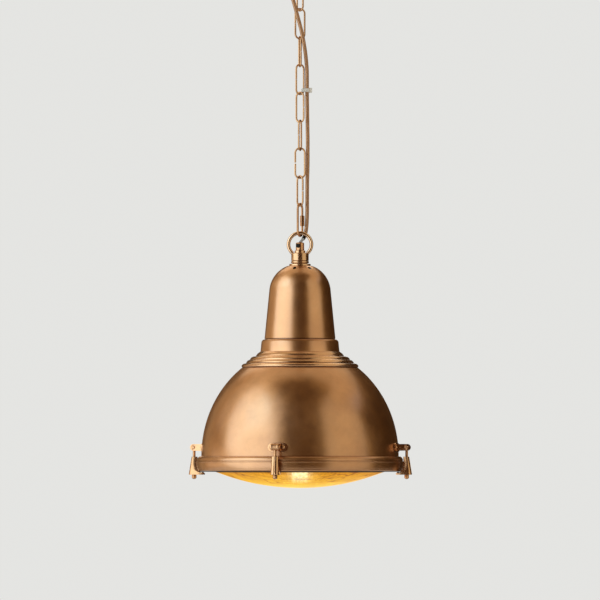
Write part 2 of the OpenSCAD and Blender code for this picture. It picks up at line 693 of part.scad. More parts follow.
module dome_shade() color("peru") {
  start = asin(dome_drop / dome_curve_h);
  outer = concat(
    shifted(step_points, [0, shelf_z]),
    ellipse_arc([0, dome_z], dome_r, dome_curve_h, start, 0, 28),
    [[dome_r, rim_z]]);
  inner = concat(
    [[dome_r - dome_wall, rim_z]],
    ellipse_arc([0, dome_z], dome_r - dome_wall, dome_curve_h - dome_wall, 0, start, 28),
    flip([for (p = step_points) if (p[0] > 58) p + [-0.9 * dome_wall, shelf_z - 0.8 * dome_wall]]));
  difference() {
    rotate_extrude() polygon(concat(
      [[shelf_open_r, shelf_z]], outer, inner,
      [[56.4, shelf_z - dome_wall], [shelf_open_r, shelf_z - dome_wall]]));
    joint_holes(shelf_screw_r, shelf_z - 3);
    rivet_holes();
  }
}

// Outline of the dome's outside grown by g, as a solid of revolution near the clamps
module dome_skin(g) {
  rotate_extrude() polygon(concat(
    [[0, dome_z + 40]], ellipse_arc([0, dome_z], dome_r + g, dome_curve_h + g, 20, 0, 8),
    [[dome_r + g, dome_z - 10], [0, dome_z - 10]]));
}

module rivet_holes() {
  for (i = [0:clamp_count - 1]) at_clamp(i) for (x = [-1, 1])
    translate([x * rivet_offset, 0, pin_rise]) rotate([90, 0, 0])
      cylinder(d = rivet_d + 2 * fit, h = pin_r);
}

module lampholder_body() color("whitesmoke") {
  r = holder_d / 2;
  neck = nipple_d / 2 + fit;
  z = holder_z;
  rotate_extrude() polygon([
    [neck, z], [neck + 6, z], [r, z - 10], [r, z - 30], [r - 2.5, z - 34], [r - 2.5, z - holder_h],
    [shell_d / 2 + 0.8, z - holder_h], [shell_d / 2 + 0.8, z - holder_h + shell_h],
    [12, z - holder_h + shell_h], [12, z - holder_h + shell_h + 2],
    [contact_r, z - holder_h + shell_h + 2], [contact_r, z - holder_h + shell_h + 5],
    [r - 4, z - holder_h + shell_h + 5],
    [r - 4, z - 11], [neck + 5, z - 3], [neck, z - 3]]);
}

module lampholder_shell() color("goldenrod") {
  translate([0, 0, holder_mouth_z]) ring_solid(shell_d / 2 + 0.8 - fit, shell_d / 2, shell_h - fit);
}

module lampholder_contact() color("goldenrod") {
  translate([0, 0, bulb_z + bulb_cap_h + seat]) cylinder(r = contact_r - fit, h = contact_h);
}

module lamp_wires() color("saddlebrown") {
  for (k = [-1:1]) {
    spread = unit(core_at(k)) * holder_d * 0.29;
    flex_tube([core_at(k) + [0, 0, grip_z + grip_h], core_at(k) + [0, 0, holder_z - 11],
               core_at(k) * 2 + [0, 0, holder_z - 12.5], spread * 0.9 + [0, 0, holder_z - 15.5],
               spread + [0, 0, holder_z - 17], spread + [0, 0, holder_mouth_z + shell_h + 5]], core_d, 8);
  }
}

module bulb_cap() color("silver") {
  r = bulb_cap_d / 2;
  n = 5;
  pitch = 3.6;
  rotate_extrude() polygon(concat(
    [[0, bulb_z + bulb_cap_h], [4.5, bulb_z + bulb_cap_h], [6, bulb_z + bulb_cap_h - 2],
     [r - 1.2, bulb_z + bulb_cap_h - 4]],
    [for (i = [0:n - 1]) each [[r, bulb_z + bulb_cap_h - 4.5 - (i + 0.25) * pitch],
                               [r - 1, bulb_z + bulb_cap_h - 4.5 - (i + 0.75) * pitch]]],
    [[r - 0.6, bulb_z], [0, bulb_z]]));
}

// Outline of the bulb's glass, shrunk by w
function bulb_outline(w) =
  let (r = bulb_d / 2, c = bulb_z - bulb_len + r, neck = bulb_cap_d / 2 - 0.8)
  concat(ellipse_arc([0, c], r - w, r - w, -90, 20, 14),
         [[neck + 6 - w, c + r * 0.8], [neck + 1.6 - w, c + r + 5], [neck - w, c + r + 10],
          [neck - w, bulb_z]]);

module bulb_glass() color("lightyellow", 0.5) {
  rotate_extrude() polygon(concat(bulb_outline(0), flip(bulb_outline(bulb_wall))));
}

module bulb_filaments() color("gold") {
  stem_h = bulb_len * 0.42;
  tip_z = bulb_z - bulb_len + bulb_d / 2 - 8;
  translate([0, 0, bulb_z - stem_h]) cylinder(d1 = 5, d2 = 12, h = stem_h);
  for (i = [0:3]) rotate([0, 0, i * 90]) {
    rod([2, 0, bulb_z - stem_h + 4], [9, 0, tip_z], 1.6);
    rod([2, 0, bulb_z - stem_h + 4], [0, 0, bulb_z - stem_h + 2], 0.8);
  }
}

module bezel() color("peru") {
  b = bezel_r;
  h = bezel_h;
  lip_r = lens_r(lens_sphere_r, bezel_lip_t) + seat;
  translate([0, 0, bezel_z]) rotate_extrude() polygon(concat(
    [[dome_r + 0.6, h], [b - 5.2, h]],
    swell([b - 5.2, h], [b - 1.2, h * 0.73], 1),
    [[b - 1.8, h * 0.72], [b - 1.8, h * 0.69], [b - 0.5, h * 0.67], [b - 0.4, h * 0.61], [b - 0.7, h * 0.6]],
    swell([b - 0.7, h * 0.6], [b - 1.8, 4], 0.35),
    [[b - 2.5, 3.7], [b - 2.6, 3]],
    swell([b - 2.6, 3], [b - 6.4, 0], 0.9, 5),
    [[lens_show_r + seat, 0], [lip_r, bezel_lip_t], [bezel_bore_r, bezel_lip_t],
     [bezel_bore_r, h - 2.6], [dome_r + 0.6, h - 1.6]]));
}

module lens() color("orange", 0.7) {
  n = 18;
  edge_out = lens_r(lens_sphere_r, lens_flange_h);
  edge_in = lens_r(lens_inner_r, lens_top_h);
  out_angle = asin(edge_out / lens_sphere_r);
  in_angle = asin(edge_in / lens_inner_r);
  translate([0, 0, bezel_z]) rotate_extrude() polygon(concat(
    [for (i = [0:n]) let (t = out_angle * i / n)
      [lens_sphere_r * sin(t), lens_centre_h - lens_sphere_r * cos(t)]],
    [[lens_edge_r, lens_flange_h], [lens_edge_r, lens_top_h]],
    [for (i = [n:-1:0]) let (t = in_angle * i / n)
      [lens_inner_r * sin(t), lens_centre_h - lens_inner_r * cos(t)]]));
}

module lens_gasket() color("dimgray") {
  inner = lens_r(lens_sphere_r, lens_flange_h) + 0.6;
  translate([0, 0, bezel_z + bezel_lip_t]) ring_solid(lens_edge_r, inner, lens_gasket_t);
}

module rim_gasket() color("dimgray") {
  translate([0, 0, bezel_z + lens_top_h]) ring_solid(dome_r + 0.1, dome_r - 4, rim_gasket_t);
}

module lens_snap_ring() color("silver") {
  r = bezel_bore_r - snap_wire / 2 - fit;
  mouth = snap_mouth / r * 180 / PI;
  translate([0, 0, bezel_z + lens_top_h + snap_wire / 2]) rotate([0, 0, mouth / 2 + 30])
    rotate_extrude(angle = 360 - mouth) translate([r, 0]) circle(d = snap_wire);
}

module ear_plate(x) {
  translate([x - ear_t / 2, 0, pin_rise]) rotate([90, 0, 90]) difference() {
    union() {
      translate([-pin_r, 0, 0]) cylinder(d = ear_h, h = ear_t);
      translate([-pin_r, -ear_h / 2, 0]) cube([pin_r - dome_r + 1, ear_h, ear_t]);
    }
    translate([-pin_r, 0, -1]) cylinder(d = pin_d + 2 * fit, h = ear_t + 2);
  }
}

module clamp_brackets() color("peru") {
  for (i = [0:clamp_count - 1]) difference() {
    union() {
      intersection() {
        at_clamp(i) translate([0, 0, pin_rise]) rotate([90, 0, 0]) translate([0, 0, dome_r - 6]) union() {
          for (x = [-1, 1]) translate([x * (foot_len - foot_h) / 2, 0, 0]) cylinder(d = foot_h, h = 16);
          translate([(foot_h - foot_len) / 2, -foot_h / 2, 0]) cube([foot_len - foot_h, foot_h, 16]);
        }
        dome_skin(foot_t);
      }
      at_clamp(i) for (x = [-1, 1]) ear_plate(x * (ear_space + ear_t) / 2);
    }
    dome_skin(fit);
    rivet_holes();
  }
}

module bracket_rivets() color("peru") {
  for (i = [0:clamp_count - 1]) at_clamp(i) for (x = [-1, 1]) {
    face = sqrt(pow(dome_r, 2) - pow(rivet_offset, 2)) - 0.6;
    translate([x * rivet_offset, -face, pin_rise]) rotate([90, 0, 0]) {
      translate([0, 0, -dome_wall - 2.2]) cylinder(d = rivet_d, h = dome_wall + 2.2 + foot_t + 0.8);
      translate([0, 0, foot_t + 0.3]) intersection() {
        translate([0, 0, -1.6]) sphere(r = rivet_d);
        cylinder(r = rivet_d, h = rivet_d);
      }
      translate([0, 0, -dome_wall - 2.2]) cylinder(d = rivet_d * 1.6, h = 1);
    }
  }
}

module clamp_pins() color("peru") {
  reach = ear_space / 2 + ear_t + fit;
  for (i = [0:clamp_count - 1]) at_clamp(i) translate([0, -pin_r, pin_rise]) rotate([0, 90, 0]) {
    translate([0, 0, -reach]) cylinder(d = pin_d, h = 2 * reach);
    for (s = [0, 1]) mirror([0, 0, s]) translate([0, 0, reach])
      cylinder(d1 = pin_head_d, d2 = pin_head_d - 1.4, h = 1.2);
  }
}

module swing_bolt(i) color("peru") {
  at_clamp(i) {
    difference() {
      translate([-bolt_eye_w / 2, -pin_r, pin_rise]) rotate([0, 90, 0])
        cylinder(d = ear_h - 0.6, h = bolt_eye_w);
      translate([-bolt_eye_w, -pin_r, pin_rise]) rotate([0, 90, 0])
        cylinder(d = pin_d + 2 * fit, h = 2 * bolt_eye_w);
    }
    difference() {
      translate([0, -pin_r, bolt_end_h]) cylinder(d = bolt_d, h = pin_rise - bolt_end_h - pin_d / 2 - 1);
      translate([-bolt_eye_w, -pin_r, pin_rise]) rotate([0, 90, 0])
        cylinder(d = pin_d + 2 * fit, h = 2 * bolt_eye_w);
    }
  }
}

// Side view of the claw, as radius and height: a ridged foot under the bezel, then a hollow edge
module claw_side() {
  r = claw_reach_r;
  polygon(concat(
    [[claw_face_top_r, claw_rise], [claw_face_foot_r, 1], [claw_face_foot_r + 0.3, claw_base_h + 0.6],
     [claw_face_foot_r - 0.6, claw_base_h], [r + 0.5, claw_base_h], [r, claw_base_h + 0.5],
     [r, -seat - claw_foot_t * 0.58], [r + 2.1, -seat], [r + 2.6, -seat], [r + 4, -seat - 1.5]],
    swell([r + 4, -seat - 1.5], [claw_back_r, 8], -1.6),
    [[claw_back_r, claw_rise]]));
}

// Moves to the claw's face, with z up along it and y into the claw
module on_claw_face() {
  lean = atan((claw_face_foot_r - claw_face_top_r) / (claw_rise - 1));
  translate([0, -claw_face_foot_r, 1]) rotate([-lean, 0, 0]) children();
}

module claw(i) color("peru") {
  w = claw_foot_w / 2;
  at_clamp(i) difference() {
    intersection() {
      rotate([90, 0, -90]) translate([0, 0, -w]) linear_extrude(claw_foot_w) claw_side();
      rotate([90, 0, 0]) translate([0, 0, claw_reach_r - 1]) linear_extrude(pin_r)
        polygon([[-claw_top_w / 2, claw_rise + 1], [-claw_top_w / 2, claw_rise * 0.6], [-w, 3],
                 [-w, claw_base_h - 1], [w, claw_base_h - 1], [w, 3], [claw_top_w / 2, claw_rise * 0.6],
                 [claw_top_w / 2, claw_rise + 1]]);
      on_claw_face() union() {
        translate([0, claw_round, -8]) cylinder(r = claw_round, h = claw_rise + 16);
        translate([-w - 1, claw_round, -8]) cube([2 * w + 2, 30, claw_rise + 16]);
      }
    }
    translate([0, -pin_r, claw_base_h - 1]) cylinder(d = bolt_d + 2 * fit, h = claw_rise - claw_base_h + 2);
    on_claw_face() translate([0, -0.5, -6]) cylinder(d = 2.4, h = claw_rise + 10);
  }
}

module clamp_nut(i) color("peru") {
  at_clamp(i) translate([0, -pin_r, claw_base_h - clamp_nut_h]) difference() {
    intersection() {
      hexagon(clamp_nut_flats, clamp_nut_h);
      translate([0, 0, clamp_nut_flats * 0.66]) sphere(r = clamp_nut_flats * 0.66, $fn = 48);
    }
    translate([0, 0, 0.8 - fit]) cylinder(d = bolt_d + 2 * fit, h = clamp_nut_h);
  }
}

ceiling_strap();
ceiling_rose();
rose_loop();
terminal_block();
terminal_screws();
earth_screw();
rose_cord_grip();
rose_wires();
chain_link(0);  // chain_link_1
chain_link(1);  // chain_link_2
chain_link(2);  // chain_link_3
chain_link(3);  // chain_link_4
chain_link(4);  // chain_link_5
chain_link(5);  // chain_link_6
chain_link(6);  // chain_link_7
chain_link(7);  // chain_link_8
quick_link();
quick_link_nut();
cable_tie();
flex_upper();
flex_lower();
suspension_ring();
hub();
cord_grip();
grip_screw();
threaded_rod();
rod_nuts();
cap();
gallery_collar();
joint_screws();
dome_shade();
lampholder_body();
lampholder_shell();
lampholder_contact();
lamp_wires();
bulb_cap();
bulb_glass();
bulb_filaments();
bezel();
lens();
lens_gasket();
rim_gasket();
lens_snap_ring();
clamp_brackets();
bracket_rivets();
clamp_pins();
swing_bolt(0);  // swing_bolt_1
swing_bolt(1);  // swing_bolt_2
swing_bolt(2);  // swing_bolt_3
swing_bolt(3);  // swing_bolt_4
claw(0);  // claw_1
claw(1);  // claw_2
claw(2);  // claw_3
claw(3);  // claw_4
clamp_nut(0);  // clamp_nut_1
clamp_nut(1);  // clamp_nut_2
clamp_nut(2);  // clamp_nut_3
clamp_nut(3);  // clamp_nut_4
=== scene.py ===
"""Dresses the dome pendant lamp: camera, flex, smooth spun metal, chain, glass and light."""
import math

import bpy
import bmesh
from mathutils import Matrix, Quaternion, Vector


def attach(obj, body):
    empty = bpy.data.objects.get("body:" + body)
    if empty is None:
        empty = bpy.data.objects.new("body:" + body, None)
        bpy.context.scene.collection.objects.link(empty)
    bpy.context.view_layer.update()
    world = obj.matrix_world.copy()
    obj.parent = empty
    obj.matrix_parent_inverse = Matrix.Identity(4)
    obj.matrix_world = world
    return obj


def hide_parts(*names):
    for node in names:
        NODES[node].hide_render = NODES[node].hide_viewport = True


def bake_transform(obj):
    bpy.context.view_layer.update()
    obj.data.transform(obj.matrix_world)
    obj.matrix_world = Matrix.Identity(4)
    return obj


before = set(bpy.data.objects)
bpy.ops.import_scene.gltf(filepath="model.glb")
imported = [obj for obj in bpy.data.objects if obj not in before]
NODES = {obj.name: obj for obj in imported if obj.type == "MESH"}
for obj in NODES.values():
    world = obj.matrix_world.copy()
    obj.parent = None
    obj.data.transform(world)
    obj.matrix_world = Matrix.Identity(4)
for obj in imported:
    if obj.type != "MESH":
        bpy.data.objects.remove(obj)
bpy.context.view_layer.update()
MM = 0.001

# ------------------------------------------------------------------ camera
CAMERA_DISTANCE = 9.0
CAMERA_HEIGHT = -0.776
FRAME_CENTRE = -0.5387
FRAME_WIDTH = 0.8688

camera_data = bpy.data.cameras.new("camera")
camera = bpy.data.objects.new("camera", camera_data)
bpy.context.scene.collection.objects.link(camera)
camera.location = (0, -CAMERA_DISTANCE, CAMERA_HEIGHT)
aim = Vector((0, 0, FRAME_CENTRE)) - camera.location
camera.rotation_euler = aim.to_track_quat("-Z", "Y").to_euler()
camera_data.sensor_width = 36
camera_data.lens = 36 * aim.length / FRAME_WIDTH
camera_data.clip_end = 60
bpy.context.scene.camera = camera
bpy.context.scene.view_settings.view_transform = "Standard"

# ------------------------------------------------------------------ dimensions repeated from the part, in mm
FLEX_D = 5.4
CORD_EXIT = (-20, -14)
FLEX_UPPER = [
    (-20, -14, -60), (-19.2, -14, -70), (-17, -13.5, -81), (-14, -13, -92),
    (-10.4, -12.5, -103), (-7, -12.2, -115), (-4, -12.2, -126), (-0.8, -12, -138),
    (2, -11.5, -149), (4.4, -10, -160), (6.5, -7.6, -172), (8.2, -4.4, -184),
    (9.4, -1, -196), (10.1, 2.2, -208), (10.2, 4.4, -220), (10.2, 5.2, -231),
    (10.2, 5.2, -242)]
FLEX_LOWER = [
    (10.2, 5.2, -242), (10.4, 5, -254), (10.6, 4.6, -267), (10.8, 4.4, -280),
    (11, 4.4, -294), (11.2, 4.2, -308), (11.2, 4, -322), (11.2, 4, -336),
    (11, 4.4, -350), (10.6, 4.6, -363), (10.4, 5, -376), (10.4, 5.6, -389),
    (10.4, 6.8, -402), (10.3, 8, -414), (9.9, 8.8, -426), (9, 8.4, -436),
    (7.5, 6.6, -444), (4.6, 3.6, -450), (0, 0, -455.4)]
LINK_YAW = [-52, 14, -79, 38, -40, 75, 0, -55]
SPLIT_SIDE = [1, -1, 1, -1, 1, -1, -1, 1]
SPLIT_GAP = [0.48, 0.3, 0.3, 0.3, 0.6, 0.6, 1.5, 0.72]
FIRST_LINK_Z = -75.95
LINK_PITCH = 40.45
LINK = (45.9, 16.4, 2.6)
QUICK = (50, 20, 3.2)
QUICK_TOP_Z = -399.25
QUICK_YAW = 67
RING_Z = -458.2
HUB_Z = -470.6
CAP_Z = -489.4
COLLAR_Z = -594.8
SHELF_Z = -613.6
DOME_Z = -764.48
RIM_Z = -776.78
BEZEL_Z = -787.28
BEZEL_H = 22.1


# ------------------------------------------------------------------ helpers
def link_object(name, mesh):
    obj = bpy.data.objects.new(name, mesh)
    bpy.context.scene.collection.objects.link(obj)
    return obj


def mesh_object(name, verts, faces, smooth=True):
    mesh = bpy.data.meshes.new(name)
    mesh.from_pydata([Vector(v) * MM for v in verts], [], faces)
    mesh.validate()
    bm = bmesh.new()
    bm.from_mesh(mesh)
    bmesh.ops.recalc_face_normals(bm, faces=bm.faces)
    bm.to_mesh(mesh)
    bm.free()
    for polygon in mesh.polygons:
        polygon.use_smooth = smooth
    return link_object(name, mesh)


def tube(name, points, diameter, sides=24, closed=False, directions=None, taper=None):
    """Round tube swept along points in mm, with rotation-minimising frames and flat ends."""
    pts = [Vector(p) for p in points]
    count = len(pts)
    verts, faces = [], []
    normal = None
    for i, p in enumerate(pts):
        if closed:
            t = (pts[(i + 1) % count] - pts[i - 1]).normalized()
        else:
            t = (pts[min(i + 1, count - 1)] - pts[max(i - 1, 0)]).normalized()
        if directions and i in directions:
            t = Vector(directions[i])
        if normal is None:
            seed = Vector((0, 1, 0)) if abs(t.y) < 0.9 else Vector((1, 0, 0))
            normal = (seed - t * seed.dot(t)).normalized()
        else:
            normal = (normal - t * normal.dot(t)).normalized()
        side = t.cross(normal)
        for k in range(sides):
            a = 2 * math.pi * k / sides
            width = taper.get(i, diameter) if taper else diameter
            verts.append(p + (normal * math.cos(a) + side * math.sin(a)) * width / 2)
    rings = count if closed else count - 1
    for i in range(rings):
        for k in range(sides):
            a, b = i * sides, ((i + 1) % count) * sides
            faces.append((a + k, a + (k + 1) % sides, b + (k + 1) % sides, b + k))
    if not closed:
        faces.append(tuple(range(sides - 1, -1, -1)))
        faces.append(tuple((count - 1) * sides + k for k in range(sides)))
    return mesh_object(name, verts, faces)


def spline(points, step=2.0):
    """Points on a smooth curve through the given ones, about step mm apart."""
    pts = [Vector(p) for p in points]
    ext = [pts[0] * 2 - pts[1]] + pts + [pts[-1] * 2 - pts[-2]]
    out = [pts[0]]
    for i in range(1, len(ext) - 2):
        p0, p1, p2, p3 = ext[i - 1:i + 3]
        n = max(2, round((p2 - p1).length / step))
        for j in range(1, n + 1):
            t = j / n
            out.append(0.5 * ((2 * p1) + (p2 - p0) * t + (2 * p0 - 5 * p1 + 4 * p2 - p3) * t ** 2
                              + (3 * p1 - p0 - 3 * p2 + p3) * t ** 3))
    return out


def lathe(name, profile, steps=192, closed=True):
    """Solid of revolution from a closed outline of (radius, height) in mm."""
    verts, faces, rings = [], [], []
    for r, z in profile:
        if r < 1e-4:
            rings.append([len(verts)] * steps)
            verts.append((0, 0, z))
        else:
            start = len(verts)
            verts += [(r * math.cos(2 * math.pi * k / steps), r * math.sin(2 * math.pi * k / steps), z)
                      for k in range(steps)]
            rings.append(list(range(start, start + steps)))
    pairs = list(zip(rings, rings[1:] + ([rings[0]] if closed else [])))
    if not closed:
        pairs = list(zip(rings[:-1], rings[1:]))
    for a, b in pairs:
        for k in range(steps):
            face = []
            for v in (a[k], a[(k + 1) % steps], b[(k + 1) % steps], b[k]):
                if v not in face:
                    face.append(v)
            if len(face) > 2:
                faces.append(tuple(face))
    return mesh_object(name, verts, faces)


def arc_points(p, q, s, n=10):
    """Points after p on an arc to q that swells by s to the left of its way."""
    p, q = Vector(p), Vector(q)
    d = q - p
    c = d.length
    r = (c * c / 4 + s * s) / (2 * s)
    half = math.asin(max(-1, min(1, c / (2 * r))))
    u = Vector((d.y, -d.x)) / c
    m = (p + q) / 2 + u * (r - s)
    out = []
    for i in range(1, n + 1):
        t = -2 * half * i / n
        v = p - m
        out.append(tuple(m + Vector((v.x * math.cos(t) - v.y * math.sin(t), v.x * math.sin(t) + v.y * math.cos(t)))))
    return out


def auto_smooth(obj, angle=32):
    bpy.context.view_layer.objects.active = obj
    for other in bpy.context.selected_objects:
        other.select_set(False)
    obj.select_set(True)
    bpy.ops.object.shade_smooth_by_angle(angle=math.radians(angle))


def set_material(obj, mat):
    obj.data.materials.clear()
    obj.data.materials.append(mat)


# ------------------------------------------------------------------ materials
def new_material(name):
    mat = bpy.data.materials.new(name)
    mat.use_nodes = True
    tree = mat.node_tree
    bsdf = tree.nodes["Principled BSDF"]
    return mat, tree, bsdf


def node(tree, kind, **values):
    made = tree.nodes.new(kind)
    for key, value in values.items():
        if hasattr(made, key):
            setattr(made, key, value)
        else:
            made.inputs[key.replace("_", " ")].default_value = value
    return made


def ramp(tree, source, stops):
    made = tree.nodes.new("ShaderNodeValToRGB")
    elements = made.color_ramp.elements
    while len(elements) < len(stops):
        elements.new(0.5)
    for element, (position, colour) in zip(elements, stops):
        element.position = position
        element.color = (*colour, 1)
    tree.links.new(source, made.inputs["Fac"])
    return made


def noise(tree, coords, scale, detail=4, rough=0.55, stretch=None):
    made = node(tree, "ShaderNodeTexNoise", Scale=scale, Detail=detail, Roughness=rough)
    source = coords
    if stretch:
        mapping = tree.nodes.new("ShaderNodeMapping")
        mapping.inputs["Scale"].default_value = stretch
        tree.links.new(coords, mapping.inputs["Vector"])
        source = mapping.outputs["Vector"]
    tree.links.new(source, made.inputs["Vector"])
    return made


def mix_colour(tree, factor, a, b, blend="MIX"):
    made = tree.nodes.new("ShaderNodeMix")
    made.data_type = "RGBA"
    made.blend_type = blend
    if hasattr(factor, "node"):
        tree.links.new(factor, made.inputs[0])
    else:
        made.inputs[0].default_value = factor
    for socket, value in ((made.inputs[6], a), (made.inputs[7], b)):
        if hasattr(value, "node"):
            tree.links.new(value, socket)
        else:
            socket.default_value = (*value, 1)
    return made.outputs[2]


def inward_side(tree):
    """One where the surface looks towards the lamp's axis, as on the inside of a spun shell."""
    coords = tree.nodes.new("ShaderNodeTexCoord")
    flat = node(tree, "ShaderNodeVectorMath", operation="MULTIPLY")
    tree.links.new(coords.outputs["Object"], flat.inputs[0])
    flat.inputs[1].default_value = (1, 1, 0)
    facing = node(tree, "ShaderNodeVectorMath", operation="DOT_PRODUCT")
    tree.links.new(coords.outputs["Normal"], facing.inputs[0])
    tree.links.new(flat.outputs["Vector"], facing.inputs[1])
    inward = node(tree, "ShaderNodeMath", operation="LESS_THAN")
    tree.links.new(facing.outputs["Value"], inward.inputs[0])
    inward.inputs[1].default_value = -0.0005
    return inward.outputs[0]


def aged_brass(name, light, mid, dark, rough=(0.29, 0.37), patina=1.0, streaks=True, wear=0.5, shaded_inside=False,
               coat=0.8, crevice_grime_and_shade=(0.0035, 0.1)):
    """Copper-bronze over brass: mottled patina, fine hoop-wise brushing, bright worn edges, crevices darkened by
    occlusion as grime and painted shade, and optionally a shell's inside painted near black as shade.
    """
    mat, tree, bsdf = new_material(name)
    coords = tree.nodes.new("ShaderNodeTexCoord").outputs["Object"]
    broad = noise(tree, coords, 16, 4, 0.58)
    cloud = noise(tree, coords, 55, 5, 0.62)
    speck = noise(tree, coords, 520, 2, 0.5)
    tone = ramp(tree, broad.outputs["Fac"], [(0.30, dark), (0.50, mid), (0.72, light)])
    small = ramp(tree, cloud.outputs["Fac"], [(0.30, (0.72, 0.70, 0.68)), (0.62, (1.06, 1.04, 1.0))])
    colour = mix_colour(tree, 0.75 * patina, tone.outputs["Color"], small.outputs["Color"], "MULTIPLY")
    flecks = ramp(tree, speck.outputs["Fac"], [(0.28, (0.55, 0.45, 0.36)), (0.42, (1, 1, 1))])
    colour = mix_colour(tree, 0.12 * patina, colour, flecks.outputs["Color"], "MULTIPLY")
    geometry = tree.nodes.new("ShaderNodeNewGeometry")
    edge = ramp(tree, geometry.outputs["Pointiness"], [(0.44, (0, 0, 0)), (0.50, (0.0, 0.0, 0.0)), (0.60, (1, 1, 1))])
    worn = node(tree, "ShaderNodeMath", operation="MULTIPLY")
    tree.links.new(edge.outputs["Color"], worn.inputs[0])
    worn.inputs[1].default_value = wear
    colour = mix_colour(tree, worn.outputs[0], colour, tuple(min(1, c * 1.25) for c in light))
    # painted shade: crevices and recesses darken where other surfaces are near, partly grime in them, partly shade
    # painted into the colour
    crevice_occlusion = node(tree, "ShaderNodeAmbientOcclusion", Distance=crevice_grime_and_shade[0])
    crevice_occlusion.samples = 8
    grime_and_shade = ramp(tree, crevice_occlusion.outputs["AO"], [(0.30, (crevice_grime_and_shade[1] * 1.6, crevice_grime_and_shade[1], crevice_grime_and_shade[1] * 0.6)), (0.62, (0.72, 0.66, 0.60)), (0.80, (1, 1, 1))])
    colour = mix_colour(tree, 0.9, colour, grime_and_shade.outputs["Color"], "MULTIPLY")
    # painted shade: where the surface faces the lamp's axis, as inside the cap, the colour goes near black
    if shaded_inside:
        colour = mix_colour(tree, inward_side(tree), colour, (0.004, 0.003, 0.002))
    tree.links.new(colour, bsdf.inputs["Base Color"])
    bsdf.inputs["Metallic"].default_value = 1
    bsdf.inputs["Coat Weight"].default_value = coat
    bsdf.inputs["Coat IOR"].default_value = 2.0
    bsdf.inputs["Coat Roughness"].default_value = 0.24
    spread = node(tree, "ShaderNodeMapRange")
    spread.inputs["From Min"].default_value = 0.3
    spread.inputs["From Max"].default_value = 0.7
    spread.inputs["To Min"].default_value = rough[0]
    spread.inputs["To Max"].default_value = rough[1]
    tree.links.new(cloud.outputs["Fac"], spread.inputs["Value"])
    tree.links.new(spread.outputs["Result"], bsdf.inputs["Roughness"])
    if streaks:
        lines = noise(tree, coords, 60, 3, 0.5, (0.3, 0.3, 22))
        bump = node(tree, "ShaderNodeBump", Strength=0.045, Distance=0.0004)
        tree.links.new(lines.outputs["Fac"], bump.inputs["Height"])
        dents = node(tree, "ShaderNodeBump", Strength=0.10, Distance=0.0012)
        tree.links.new(broad.outputs["Fac"], dents.inputs["Height"])
        tree.links.new(bump.outputs["Normal"], dents.inputs["Normal"])
        tree.links.new(dents.outputs["Normal"], bsdf.inputs["Normal"])
    else:
        bump = node(tree, "ShaderNodeBump", Strength=0.04, Distance=0.0002)
        tree.links.new(speck.outputs["Fac"], bump.inputs["Height"])
        tree.links.new(bump.outputs["Normal"], bsdf.inputs["Normal"])
    return mat


def plain(name, colour, rough, metallic=0.0, variation=0.12, scale=120, bump_size=0.0001, bump_strength=0.1,
          specular=0.5):
    """Plastic, rubber, ceramic or plated metal with slight colour and surface variation."""
    mat, tree, bsdf = new_material(name)
    coords = tree.nodes.new("ShaderNodeTexCoord").outputs["Object"]
    grain = noise(tree, coords, scale, 5, 0.6)
    low = tuple(c * (1 - variation) for c in colour)
    high = tuple(min(1, c * (1 + variation)) for c in colour)
    tone = ramp(tree, grain.outputs["Fac"], [(0.3, low), (0.7, high)])
    tree.links.new(tone.outputs["Color"], bsdf.inputs["Base Color"])
    bsdf.inputs["Metallic"].default_value = metallic
    bsdf.inputs["Roughness"].default_value = rough
    bsdf.inputs["Specular IOR Level"].default_value = specular
    fine = noise(tree, coords, scale * 8, 2, 0.5)
    bump = node(tree, "ShaderNodeBump", Strength=bump_strength, Distance=bump_size)
    tree.links.new(fine.outputs["Fac"], bump.inputs["Height"])
    tree.links.new(bump.outputs["Normal"], bsdf.inputs["Normal"])
    return mat


SPUN_LIGHT, SPUN_MID, SPUN_DARK = (0.64, 0.305, 0.115), (0.57, 0.255, 0.08), (0.47, 0.192, 0.052)
SPUN = aged_brass("spun_brass", SPUN_LIGHT, SPUN_MID, SPUN_DARK, rough=(0.29, 0.37), patina=0.5)
SHELL = aged_brass("shell_brass", SPUN_LIGHT, SPUN_MID, SPUN_DARK, rough=(0.29, 0.37), patina=0.5, shaded_inside=True)
# the crown steps' brass: a glossier finish, plus lighter colours and stronger edge wear that are painted highlight
LIT_RIDGES = aged_brass("lit_ridge_brass", (0.80, 0.45, 0.20), (0.70, 0.36, 0.14), (0.56, 0.26, 0.09),
                    rough=(0.19, 0.25), patina=0.6, streaks=False, wear=0.8, coat=0.9, crevice_grime_and_shade=(0.0022, 0.14))
CAST = aged_brass("cast_brass", (0.74, 0.40, 0.19), (0.58, 0.28, 0.115), (0.36, 0.155, 0.055),
                  rough=(0.20, 0.26), patina=0.5, streaks=False, wear=0.4, coat=0.4, crevice_grime_and_shade=(0.006, 0.004))
CLAW = aged_brass("claw_brass", (0.78, 0.46, 0.22), (0.64, 0.33, 0.14), (0.42, 0.19, 0.07),
                  rough=(0.20, 0.26), patina=0.5, streaks=False, wear=0.4, coat=0.4, crevice_grime_and_shade=(0.0015, 0.06))
WIRE = aged_brass("wire_brass", (0.84, 0.50, 0.25), (0.70, 0.38, 0.17), (0.46, 0.22, 0.085),
                  rough=(0.20, 0.26), patina=0.4, streaks=False, wear=0, coat=0.4, crevice_grime_and_shade=(0.003, 0.02))
